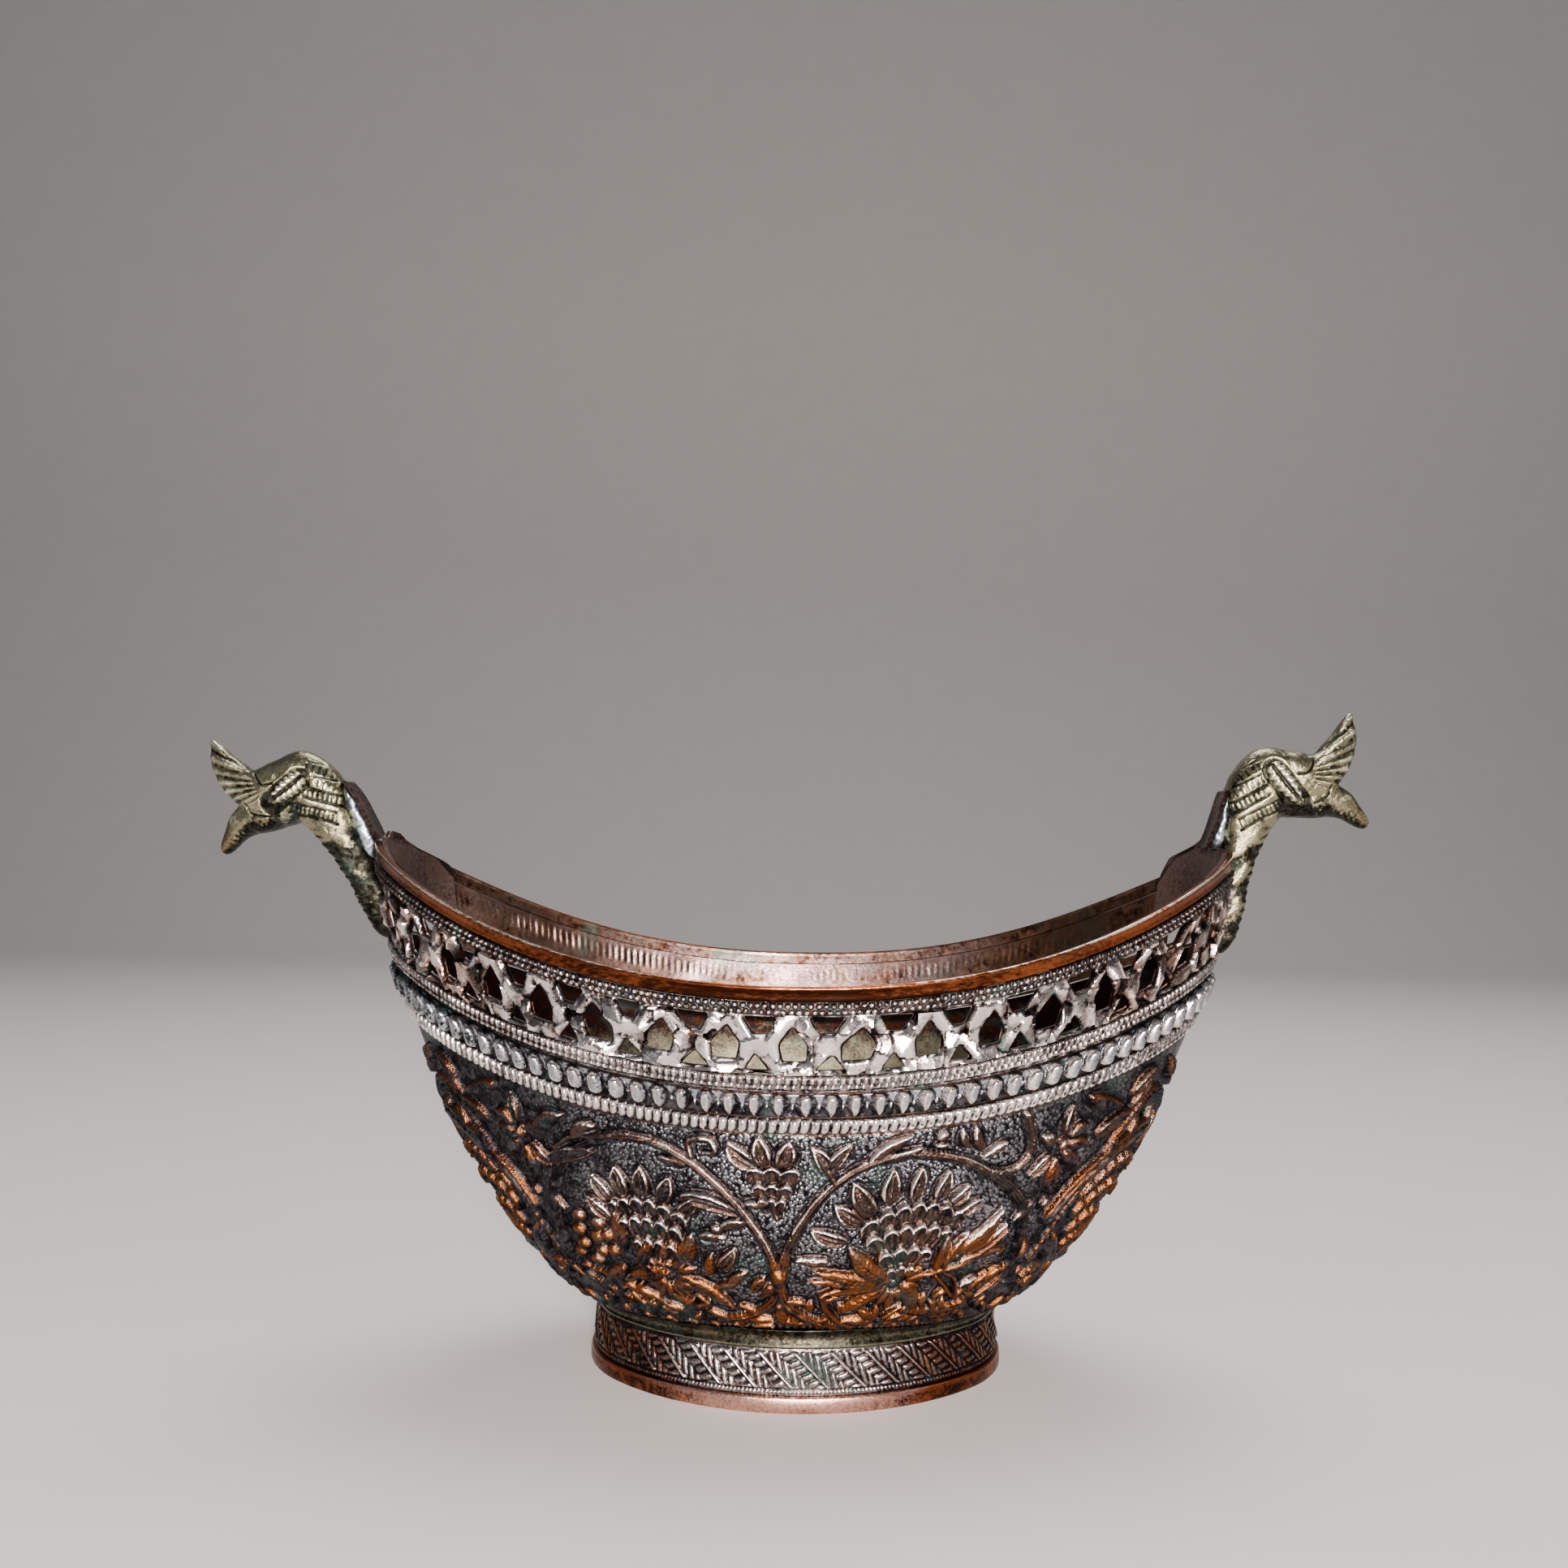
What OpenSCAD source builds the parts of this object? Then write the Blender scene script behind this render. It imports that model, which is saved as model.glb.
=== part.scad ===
// Boat-shaped begging bowl: a raised hull of tinned copper on an oval foot, a pierced
// gallery under a plain copper rim, and a cast brass dragon head at each end.
// Millimetres, +Z up, +X along the length, origin at the centre of the foot's base.

/* [Bowl] */
// Length of the bowl at the rim, without the heads
bowl_len = 200; // [170:1:240]
// Width of the bowl at the rim
bowl_w = 108; // [92:1:130]
// Height of the rim at mid-length
rim_h = 97; // [85:0.5:115]
// Rise of the rim at the ends above mid-length
sheer = 28.3; // [18:0.1:36]
// How late the rim starts to rise toward the ends
sheer_power = 2.26; // [1.8:0.01:3]
// Roundness of the rim in plan, where 2 is a true ellipse
plan_power = 1.82; // [1.7:0.01:2.2]
// Thickness of the copper sheet
wall_t = 1.2; // [0.8:0.1:1.8]
// Solder seam left between neighbouring pieces
seam = 0.15; // [0.1:0.05:0.25]
// Depth of the rounded bottom below its seat on the foot
pan_drop = 4.5; // [2:0.5:8]

/* [Bands] */
// Height of the plain copper rim band, at mid-length
rim_band_h = 3.1; // [2.4:0.1:4.5]
// How far the rim's lip stands out
lip_out = 0.35; // [0.2:0.05:0.6]
// Height of the rim's lip
lip_h = 0.95; // [0.6:0.05:1.6]
// Height of the double bead border under the rim
bead_h = 2.6; // [2:0.1:3.2]
// Height of the pierced zone
lattice_h = 12.2; // [9:0.1:14]
// Height of the ribbed wire under the pierced zone
rib_h = 3.6; // [2.4:0.1:4.4]
// Height of the row of bosses
boss_h = 4.75; // [3.6:0.05:6]
// Height of the rope wire under the bosses
rope_h = 3.3; // [2.4:0.1:4.2]
// Plain step between one border and the next
step_h = 0.35; // [0.2:0.05:0.8]
// How far the bead border stands off the wall
bead_rise = 1; // [0.6:0.1:1.4]
// How far the ribbed wire stands off the wall
rib_rise = 1.5; // [0.9:0.1:2]
// How far the points of the bosses stand off the wall
boss_rise = 1.9; // [1.2:0.1:2.6]
// Thickness of the strip that carries the bosses
boss_edge = 0.55; // [0.4:0.05:0.9]
// How far the rope wire stands off the wall
rope_rise = 1.3; // [0.8:0.1:1.8]
// Bosses along each side
boss_n = 50; // [36:1:60]
// How far the sheet strips stop short of the keel at each end
strip_gap = 2.4; // [1.6:0.1:3]
// Play between the ends of the bead border and the neck
bead_play = 1.2; // [0.6:0.1:2]

/* [Chased field] */
// How far the chased work stands off the wall
chase_rise = 1.4; // [0.8:0.1:1.8]
// How deep the hollows of the lotus lie above the wall
lotus_floor = 0.5; // [0.3:0.1:0.8]
// Width of the vine round each lotus roundel
vine_w = 2.3; // [1.8:0.1:3]
// Place of the tilted roundel, as a share of one side from its left end
tilted_at = 0.375; // [0.36:0.005:0.39]
// Place of the upright roundel, as a share of one side from its left end
upright_at = 0.625; // [0.61:0.005:0.64]

/* [Gallery] */
// Pierced crossings along each side
cell_n = 18; // [14:1:22]
// Width of a diamond opening
diamond_w = 7; // [5:0.1:8]
// Height of a diamond opening
diamond_h = 9.5; // [7:0.1:10.5]
// Width of a corner opening
corner_w = 6.9; // [5:0.1:8]
// Height of a corner opening
corner_h = 3.9; // [2.4:0.1:4.4]
// Bar left between a corner opening and the border
edge_bar = 0.55; // [0.4:0.05:1.2]

/* [Foot] */
// Length of the foot at its top edge
foot_len = 98.4; // [84:0.2:112]
// Width of the foot at its top edge
foot_w = 74.4; // [66:0.2:84]
// End radius of the foot's oval
foot_end_r = 29; // [25:0.5:31]
// Height of the whole foot below its collar
foot_h = 14.6; // [11:0.1:18]
// Height of the plain flange the bowl stands on
flange_h = 3.8; // [2.5:0.1:5]
// How much wider the leaf band is at its bottom
band_flare = 1.4; // [0.6:0.1:2]
// How far the flange stands out past the foot's top edge
flange_out = 2.2; // [1.8:0.1:3]
// Thickness of the foot's sheet
foot_t = 1.6; // [1.2:0.1:2]
// Height of the collar between foot and hull at the two ends
collar_end = 1.4; // [1:0.1:2.5]
// Height of the collar at front and back
collar_mid = 4.5; // [3:0.1:6]
// Depth of the hollow in the collar's face
collar_cove = 0.45; // [0.2:0.05:0.7]

/* [Heads] */
// Length of the neck that lies below the rim
neck_drop = 22.3; // [18:0.1:26]
// Width of the neck at the rim
neck_w = 8.4; // [7:0.1:10]
// Depth of the neck at the rim, from back to front
neck_d = 6.1; // [5:0.1:7.5]
// Height of the head above the end of the rim
head_h = 31.2; // [26:0.1:36]
// Outward lean of the left head
lean_left = 16; // [8:0.5:20]
// Outward lean of the right head
lean_right = 0; // [0:0.5:6]
// Play between the neck and the end of the wall
neck_play = 0.3; // [0.2:0.05:0.6]
// Thickness of the solder bed behind each neck
bed_t = 1.6; // [1.2:0.1:2]
// Half width of the stem plate along the wall
plate_half = 24; // [18:0.5:28]
// Depth of the stem plate below the end of the rim
plate_drop = 15.5; // [11:0.5:20]
// Thickness of the stem plate
plate_t = 1.3; // [0.9:0.1:1.6]
// Rise of the right stem plate above the rim
plate_rise_right = 4; // [3:0.1:6]
// Rise of the left stem plate above the rim
plate_rise_left = 0.6; // [0.4:0.1:2]
// Half width of the tongue that carries the head
tongue_half = 4.2; // [3:0.1:5]

/* [Hidden] */
$fn = 48;

// Half sizes of the rim and of the hull's seat on the collar
rim_a = bowl_len / 2;
rim_b = bowl_w / 2;
seat_a = foot_len / 2 - foot_t;
seat_b = foot_w / 2 - foot_t;
seat_end = foot_h + collar_end;
seat_mid = foot_h + collar_mid;

// Border lines up the wall, 0 at the seat and 1 at the rim
wall_rise = rim_h - seat_mid;
s_rim = 1 - rim_band_h / wall_rise;
s_bead = s_rim - bead_h / wall_rise;
s_lattice = s_bead - lattice_h / wall_rise;
s_rib = s_lattice - rib_h / wall_rise;
s_boss1 = s_rib - step_h / wall_rise;
s_boss0 = s_boss1 - boss_h / wall_rise;
s_rope1 = s_boss0 - step_h / wall_rise;
s_rope0 = s_rope1 - rope_h / wall_rise;
s_seam = seam / wall_rise;

// Outer surface of the hull: s up the wall, t round it in degrees
function spow(x, e) = sign(x) * pow(abs(x), e);
function grow(s) = pow(1 - pow(1 - s, 1.75), 0.68);
function half_l(s) = seat_a + (rim_a - seat_a) * grow(s);
function half_w(s) = seat_b + (rim_b - seat_b) * grow(s);
function plan_e(s) = 2 / (2 + (plan_power - 2) * s);
function seat_z(t) = seat_end + (seat_mid - seat_end) * pow(sin(t), 2);
function lift(s) = 1 - pow(1 - s, 1.5);
function surf(s, t) =
    let (c = spow(cos(t), plan_e(s)), q = spow(sin(t), plan_e(s)))
    [
        half_l(s) * c,
        half_w(s) * q,
        seat_z(t) * (1 - s) + rim_h * s + sheer * pow(abs(c), sheer_power) * lift(s)
    ];
function unit(v) = v / norm(v);
function outward(s, t) =
    let (
        round_it = surf(s, t + 0.5) - surf(s, t - 0.5),
        up_it = surf(min(s + 0.004, 1), t) - surf(max(s - 0.004, 0), t)
    )
    unit(cross(round_it, up_it));
function skin(s, t, w) = surf(s, t) + w * outward(s, t);

// Equal steps along the front rim from the left end to the right end
arc_steps = 180;
arc = [
    for (
        i = 0, run = 0;
        i <= arc_steps;
        run = run + norm(surf(1, 181 + i) - surf(1, 180 + i)), i = i + 1
    )
    [run, 180 + i]
];
half_arc = arc[arc_steps][0];
function turn(u) = lookup(u * half_arc, arc);
function front(s, u, w) = skin(s, turn(u), w);
u_gap = strip_gap / half_arc;
u_keel = seam / half_arc;
u_neck = (neck_w / 2 + bead_play) / half_arc;

// Line of the wall at the keel, from height to distance
keel_rows = [for (i = [0 : 60]) surf(i / 60, 0)];
keel = [for (r = keel_rows) [r[2], r[0]]];
function keel_x(z) = lookup(z, keel);

function quad(a, b, c, d) = [[a, b, c], [a, c, d]];

// Bar with one closed section carried along a list of columns
function bar_faces(n_col, n_pt) = concat(
    [
        for (i = [0 : n_col - 2], j = [0 : n_pt - 1])
            let (k = (j + 1) % n_pt)
            each quad(i * n_pt + j, i * n_pt + k, (i + 1) * n_pt + k, (i + 1) * n_pt + j)
    ],
    [for (j = [1 : n_pt - 2]) [0, j + 1, j]],
    [for (j = [1 : n_pt - 2]) let (e = (n_col - 1) * n_pt) [e, e + j, e + j + 1]]
);

// Strip on the wall from one end to the other: section of [s, w] pairs
module strip(section, cols, u_a, u_b) {
    n = len(section);
    points = [
        for (i = [0 : cols], p = section)
            front(p[0], u_a + (u_b - u_a) * i / cols, p[1])
    ];
    polyhedron(points, bar_faces(cols + 1, n), 4);
}

// Rounded section standing on the wall between two border lines
function half_round(s0, s1, rise) = [
    for (k = [[0, 0], [0.32, 1], [0.68, 1], [1, 0]])
        [s0 + (s1 - s0) * k[0], seam + (rise - seam) * k[1]]
];

// Raised hull: the plain sheet, and the work chased up from it
hull_cols = 56;
hull_out = [0.006, 0.025, 0.07, 0.15, 0.26, 0.4, 0.55, 0.68];
hull_in = [0.03, 0.1, 0.2, 0.34, 0.52];
function hull_turn(i) =
    let (h = hull_cols / 2)
    i <= h ? turn(i / h) : 180 + turn((i - h) / h);
function pan(k, t, up) = [
    seat_a * k * cos(t),
    seat_b * k * sin(t),
    seat_z(t) * pow(k, 2) + (seat_end - pan_drop) * (1 - pow(k, 2)) + up
];

module raised_sheet() {
    n = hull_cols;
    top = s_lattice - s_seam;
    turns = [for (i = [0 : n - 1]) hull_turn(i)];
    rings = [
        [for (t = turns) pan(0.55, t, 0)],
        [for (t = turns) pan(1, t, 0)],
        for (s = hull_out) [for (t = turns) surf(s, t)],
        [for (t = turns) surf(top, t)],
        [for (t = turns) skin(top, t, -wall_t)],
        for (i = [len(hull_in) - 1 : -1 : 0]) [for (t = turns) skin(hull_in[i], t, -wall_t)],
        [for (t = turns) pan(0.97, t, wall_t)],
        [for (t = turns) pan(0.6, t, wall_t)]
    ];
    m = len(rings);
    points = concat(
        [for (r = rings, p = r) p],
        [[0, 0, seat_end - pan_drop], [0, 0, seat_end - pan_drop + wall_t]]
    );
    faces = concat(
        [
            for (k = [0 : m - 2], i = [0 : n - 1])
                let (j = (i + 1) % n)
                each quad(k * n + i, (k + 1) * n + i, (k + 1) * n + j, k * n + j)
        ],
        [for (i = [0 : n - 1]) [m * n, i, (i + 1) % n]],
        [for (i = [0 : n - 1]) [m * n + 1, (m - 1) * n + (i + 1) % n, (m - 1) * n + i]]
    );
    polyhedron(points, faces, 4);
}

// Chased field, drawn flat: x along the wall from a motif's middle, y up from the seat
drawn_arc = 251;
drawn_h = 51;
up_steps = 48;
function row_s(i) = s_rope0 * i / up_steps;
ups = [
    for (
        i = 0, run = 0;
        i <= up_steps;
        run = run + norm(surf(row_s(i + 1), 270) - surf(row_s(i), 270)), i = i + 1
    )
    [run, row_s(i)]
];
field_h = ups[up_steps][0];
function level(y) = lookup(y * field_h / drawn_h, ups);
side_turns = [for (i = [0 : 36]) turn(i / 36)];
function side_steps(s) = [for (i = [0 : 35]) norm(surf(s, side_turns[i + 1]) - surf(s, side_turns[i]))];
spans = [for (i = [0 : 4 : up_steps]) [row_s(i), side_steps(row_s(i)) * [for (k = [1 : 36]) 1]]];
function drawn(p, w, at) =
    let (s = level(p[1]))
    front(s, at + p[0] * half_arc / drawn_arc / lookup(s, spans), w);

upright_vine = [
    [4, 7.5], [22, 8.4], [28.3, 20], [19, 35.2], [0, 45], [-18, 41.5], [-25.2, 24], [-20, 9], [-8, 4.4]
];
upright_tiers = [[16, 0.2, 2], [19.6, 0.9, 3.6], [24.3, 2, 6.6], [29.6, 3.3, 10.4], [34.7, 4.6, 11.8]];
upright_leaves = [
    [[-9.5, 32], [-16, 40], 2.4], [[-7, 33.6], [-8.2, 42.8], 2.3], [[-2.6, 34.2], [-2, 42.6], 2],
    [[2.2, 33.8], [4.2, 41], 2], [[10.2, 21.5], [20, 30], 2.4], [[-2.5, 15.5], [-13.8, 24.8], 2.3],
    [[-3, 13.8], [-11.2, 7.2], 2.5]
];
tilted_vine = [
    [-8, 5.2], [-27, 11], [-30.4, 24], [-21, 39.5], [-3, 47], [13, 38.8], [20.4, 20], [16, 9], [5, 5]
];
tilted_tiers = [[15.7, 0.2, 1.8], [19.3, 0.8, 3.2], [24.3, 1.6, 5.8], [29.4, 2.4, 8], [33.7, 3.2, 9.8]];
tilted_leaves = [
    [[-11, 30.6], [-16, 36.4], 2], [[-8.2, 32.4], [-9.4, 39.6], 2.2], [[-4, 33.1], [-3.3, 40.6], 2.2],
    [[0, 32.4], [3, 39.4], 2.1], [[1, 14.7], [9, 8], 2.2], [[-14.5, 15.6], [-24, 10.3], 2],
    [[-13.2, 19.3], [-12, 29.3], 2.1]
];

// Point of a smooth line through the drawn points, n to n + 1
function along(p, n, k) =
    let (
        last = len(p) - 1,
        a = p[max(n - 1, 0)], b = p[n], c = p[min(n + 1, last)], d = p[min(n + 2, last)]
    )
    b + ((c - a) * k + (2 * a - 5 * b + 4 * c - d) * pow(k, 2) + (3 * b - a - 3 * c + d) * pow(k, 3)) / 2;
function smooth(p) = [for (n = [0 : len(p) - 2], k = [0, 0.5]) along(p, n, k), p[len(p) - 1]];
function crossing(v) = [-v[1], v[0]] / norm(v);

// Block let into the wall: its drawn outline, and the points that stand up from it
module chased(low, high, at) {
    points = concat(
        [for (p = low) drawn(p, -wall_t / 2, at)],
        [for (p = high) drawn(p, p[2], at)]
    );
    hull() polyhedron(points, [for (i = [0 : len(points) - 3]) [i, i + 1, i + 2]]);
}

module vine(points, at) {
    line = smooth(points);
    last = len(line) - 1;
    side = [for (i = [0 : last]) crossing(line[min(i + 1, last)] - line[max(i - 1, 0)]) * vine_w / 2];
    for (i = [0 : last - 1]) {
        feet = [for (k = [i, i + 1], h = [-1.2, 1.2]) line[k] + h * side[k]];
        top = [for (k = [i, i + 1], h = [-0.5, 0.5]) concat(line[k] + h * side[k], chase_rise)];
        chased(feet, top, at);
    }
}

// Each tier of a lotus rises from just inside the tier below it to its own lip
module lotus(tiers, x, at) {
    function lip(n, c) = [x + tiers[n][2] * c, tiers[n][0] - tiers[n][1] * pow(c, 2)];
    function start(n, c) = lip(n, 0.94 * c) - [0, 0.5];
    for (n = [1 : len(tiers) - 1], c = [[-1, -0.4], [-0.4, 0.4], [0.4, 1]]) {
        low = [start(n - 1, c[0]), start(n - 1, c[1])];
        high = [lip(n, c[0]), lip(n, c[1])];
        chased(
            concat(low, high),
            concat([for (p = low) concat(p, lotus_floor)], [for (p = high) concat(p, chase_rise)]),
            at
        );
    }
}

module chased_leaf(base, tip, half, at) {
    run = tip - base;
    wide = crossing(run) * half * 1.25;
    belly = base + 0.45 * run;
    chased(
        [base, belly + wide, belly - wide, tip],
        [for (k = [0.2, 0.7]) concat(base + k * run, chase_rise * 0.85)],
        at
    );
}

module roundel(vines, tiers, x, leaves, at) {
    vine(vines, at);
    lotus(tiers, x, at);
    for (l = leaves) chased_leaf(l[0], l[1], l[2], at);
}

module bowl_hull() {
    color("#7a5f57") union() {
        raised_sheet();
        for (half_turn = [0, 180])
            rotate(half_turn) {
                roundel(upright_vine, upright_tiers, -1.2, upright_leaves, upright_at);
                roundel(tilted_vine, tilted_tiers, -4.2, tilted_leaves, tilted_at);
            }
    }
}

// Pierced gallery: one cell holds half a diamond at each side and two corner openings
pitch = half_arc * (1 - 2 * u_gap) / cell_n;
function cell_spots() =
    let (
        mid = (s_lattice + s_bead) / 2,
        foot = s_lattice + s_seam,
        head = s_rim - s_seam,
        high = s_bead - edge_bar / wall_rise,
        low = s_lattice + edge_bar / wall_rise,
        tip = corner_h / wall_rise,
        half = diamond_h / 2 / wall_rise,
        side = diamond_w / 2 / pitch,
        left = 0.5 - corner_w / 2 / pitch,
        right = 0.5 + corner_w / 2 / pitch
    )
    [
        [0, head], [0, mid + half], [0, mid - half], [0, foot],
        [left, head], [right, head],
        [left, high], [right, high], [0.5, high - tip],
        [side, mid], [1 - side, mid],
        [0.5, low + tip], [left, low], [right, low],
        [left, foot], [right, foot]
    ];
// Spots 16 to 19 are the next cell's first four
function spot(i, k, face) = k < 16 ? (i * 16 + k) * 2 + face : ((i + 1) * 16 + k - 16) * 2 + face;
cell_quads = [
    [0, 4, 6, 1], [4, 5, 7, 6], [5, 16, 17, 7],
    [1, 6, 8, 9], [8, 7, 17, 10], [9, 8, 10, 11],
    [9, 11, 12, 2], [11, 10, 18, 13],
    [2, 12, 14, 3], [12, 13, 15, 14], [13, 18, 19, 15]
];
cell_edges = [
    [4, 0], [5, 4], [16, 5], [3, 14], [14, 15], [15, 19],
    [1, 9], [9, 2], [18, 10], [10, 17],
    [6, 7], [7, 8], [8, 6], [13, 12], [12, 11], [11, 13]
];

module gallery() {
    spots = cell_spots();
    u_step = (1 - 2 * u_gap) / cell_n;
    points = [
        for (i = [0 : cell_n], k = [0 : (i < cell_n ? 15 : 3)], w = [0, -wall_t])
            front(spots[k][1], u_gap + (i + spots[k][0]) * u_step, w)
    ];
    faces = [
        for (i = [0 : cell_n - 1])
            each concat(
                [
                    for (q = cell_quads)
                        each quad(spot(i, q[0], 0), spot(i, q[1], 0), spot(i, q[2], 0), spot(i, q[3], 0))
                ],
                [
                    for (q = cell_quads)
                        each quad(spot(i, q[3], 1), spot(i, q[2], 1), spot(i, q[1], 1), spot(i, q[0], 1))
                ],
                [
                    for (e = cell_edges)
                        each quad(spot(i, e[0], 0), spot(i, e[1], 0), spot(i, e[1], 1), spot(i, e[0], 1))
                ]
            )
    ];
    last = cell_n - 1;
    ends = concat(
        quad(spot(0, 0, 0), spot(0, 1, 0), spot(0, 1, 1), spot(0, 0, 1)),
        quad(spot(0, 2, 0), spot(0, 3, 0), spot(0, 3, 1), spot(0, 2, 1)),
        quad(spot(last, 17, 0), spot(last, 16, 0), spot(last, 16, 1), spot(last, 17, 1)),
        quad(spot(last, 19, 0), spot(last, 18, 0), spot(last, 18, 1), spot(last, 19, 1))
    );
    color("#a58d86") polyhedron(points, concat(faces, ends), 4);
}

module gallery_front() {
    gallery();
}

module gallery_back() {
    mirror([0, 1, 0]) gallery();
}

// Plain rim band with a slightly thickened lip
module rim_band() {
    lip = 1 - lip_h / wall_rise;
    section = [
        [s_rim + s_seam, 0], [lip, 0], [lip, lip_out], [1, lip_out],
        [1, -wall_t], [s_rim + s_seam, -wall_t]
    ];
    color("#b5734e") strip(section, 40, u_gap, 1 - u_gap);
}

module rim_band_front() {
    rim_band();
}

module rim_band_back() {
    mirror([0, 1, 0]) rim_band();
}

// Double bead border over the seam between gallery and rim
module bead_border() {
    mid = (s_bead + s_rim) / 2;
    section = [
        [s_bead, seam], [s_bead * 0.75 + mid * 0.25, bead_rise], [mid, bead_rise * 0.6],
        [s_rim * 0.75 + mid * 0.25, bead_rise], [s_rim, seam]
    ];
    color("#b59f97") strip(section, 40, u_neck, 1 - u_neck);
}

module bead_border_front() {
    bead_border();
}

module bead_border_back() {
    mirror([0, 1, 0]) bead_border();
}

// Ribbed wire over the seam between hull and gallery
module ribbed_wire() {
    color("#b9a49c") strip(half_round(s_rib, s_lattice, rib_rise), 44, u_keel, 1 - u_keel);
}

module ribbed_wire_front() {
    ribbed_wire();
}

module ribbed_wire_back() {
    mirror([0, 1, 0]) ribbed_wire();
}

// Strip of four-sided bosses
module boss_strip() {
    u_step = (1 - 2 * u_keel) / boss_n;
    mid = (s_boss0 + s_boss1) / 2;
    edge = [[s_boss0, seam], [s_boss0, boss_edge], [s_boss1, boss_edge], [s_boss1, seam]];
    points = concat(
        [
            for (i = [0 : boss_n], p = edge)
                front(p[0], u_keel + i * u_step, p[1])
        ],
        [for (i = [0 : boss_n - 1]) front(mid, u_keel + (i + 0.5) * u_step, boss_rise)]
    );
    tips = (boss_n + 1) * 4;
    e = boss_n * 4;
    faces = concat(
        [
            for (i = [0 : boss_n - 1])
                let (a = i * 4, b = a + 4, tip = tips + i)
                each concat(
                    quad(a, a + 1, b + 1, b),
                    quad(a + 2, a + 3, b + 3, b + 2),
                    quad(a + 3, a, b, b + 3),
                    [[a + 1, a + 2, tip], [a + 2, b + 2, tip], [b + 2, b + 1, tip], [b + 1, a + 1, tip]]
                )
        ],
        quad(0, 3, 2, 1),
        quad(e, e + 1, e + 2, e + 3)
    );
    color("#8d7972") polyhedron(points, faces, 4);
}

module boss_strip_front() {
    boss_strip();
}

module boss_strip_back() {
    mirror([0, 1, 0]) boss_strip();
}

// Rope wire that closes the borders above the chased field
module rope_wire() {
    color("#97827a") strip(half_round(s_rope0, s_rope1, rope_rise), 44, u_keel, 1 - u_keel);
}

module rope_wire_front() {
    rope_wire();
}

module rope_wire_back() {
    mirror([0, 1, 0]) rope_wire();
}

// Heads: p outward and q up from a pivot on the wall's end line, y across
pivot_z = rim_h + sheer - neck_drop;
function place(p, q, y, lean) = [
    rim_a + p * cos(lean) + q * sin(lean),
    y,
    pivot_z + q * cos(lean) - p * sin(lean)
];
function back_p(q) = keel_x(pivot_z + q) + neck_play - rim_a;
// Points above the rim grow with the head
head_k = head_h / 31.2;
function grown(p, q) = [p * head_k, neck_drop + (q - 22.3) * head_k];

// Neck below the rim: shares of the drop, of the depth and of the width
neck_rows = [
    [0.012, 0.43, 0.36], [0.1, 0.71, 0.62], [0.27, 0.79, 0.79],
    [0.54, 0.78, 0.88], [0.8, 0.86, 0.93], [1, 1, 1]
];
// Skull and upper jaw: centre p and q, direction, half height, half width
skull_rows = [
    [3, 27, 84, 5.2, 4.7], [3.9, 32.5, 68, 7, 5.2], [7.5, 38, 30, 8.2, 5.5],
    [12, 38.2, 8, 7.3, 5.3], [17, 38.9, 14, 6, 4.8], [20.6, 41.6, 46, 4.5, 4.2],
    [23, 45.6, 68, 3.6, 3.2], [24.1, 49.4, 80, 2.4, 2.2], [24.9, 53.5, 84, 0.5, 0.5]
];
// Lower jaw: centre p and q, half height, half width
jaw_rows = [
    [14, 34, 3.6, 4.6], [19, 34.2, 3.9, 4.2], [23, 34.2, 3.8, 3.6],
    [25.5, 32.8, 3, 2.9], [28.2, 30.8, 2.1, 2.1], [30.9, 28.4, 0.7, 0.8]
];
// Ear leaf: centre p and q, distance from the middle plane, radius
ear_rows = [[8.8, 42.4, 4.4, 1.7], [11.6, 39.6, 5.4, 2.1], [13.4, 36.8, 6, 1.5], [15.2, 33.8, 6.4, 0.6]];
ring_n = 12;

function neck_ring(r, lean) =
    let (
        q = r[0] * neck_drop,
        rear = back_p(max(q, 0)),
        half = neck_d * r[1] / 2
    )
    [
        for (i = [0 : ring_n - 1])
            let (a = 360 * i / ring_n)
            place(rear + half + half * spow(cos(a), 0.8), q, neck_w / 2 * r[2] * spow(sin(a), 0.8), lean)
    ];
function skull_ring(r, lean) = [
    for (i = [0 : ring_n - 1])
        let (
            a = 360 * i / ring_n,
            h = -r[3] * spow(cos(a), 0.85),
            g = grown(r[0] - h * sin(r[2]), r[1] + h * cos(r[2]))
        )
        place(g[0], g[1], head_k * r[4] * spow(sin(a), 0.85), lean)
];
module loft(rings) {
    n = len(rings[0]);
    polyhedron([for (r = rings, i = [n - 1 : -1 : 0]) r[i]], bar_faces(len(rings), n), 4);
}
module bead_at(p, q, y, h, w, lean) {
    translate(place(grown(p, q)[0], grown(p, q)[1], y * head_k, lean))
        scale([h * head_k, w * head_k, h * head_k]) sphere(1, $fn = 8);
}
module jaw_bead(r, lean) {
    bead_at(r[0], r[1], 0, r[2], r[3], lean);
}
module ear_bead(r, lean, side) {
    bead_at(r[0], r[1], side * r[2], r[3], r[3] * 0.55, lean);
}
module ear(lean, side) {
    for (i = [0 : len(ear_rows) - 2])
        hull() {
            ear_bead(ear_rows[i], lean, side);
            ear_bead(ear_rows[i + 1], lean, side);
        }
}
module dragon_head(lean) {
    color("#8c7f58") union() {
        loft(concat([for (r = neck_rows) neck_ring(r, lean)], [for (r = skull_rows) skull_ring(r, lean)]));
        for (i = [0 : len(jaw_rows) - 2])
            hull() {
                jaw_bead(jaw_rows[i], lean);
                jaw_bead(jaw_rows[i + 1], lean);
            }
        ear(lean, 1);
        ear(lean, -1);
    }
}

module dragon_head_right() {
    dragon_head(lean_right);
}

module dragon_head_left() {
    mirror([1, 0, 0]) dragon_head(lean_left);
}

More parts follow.
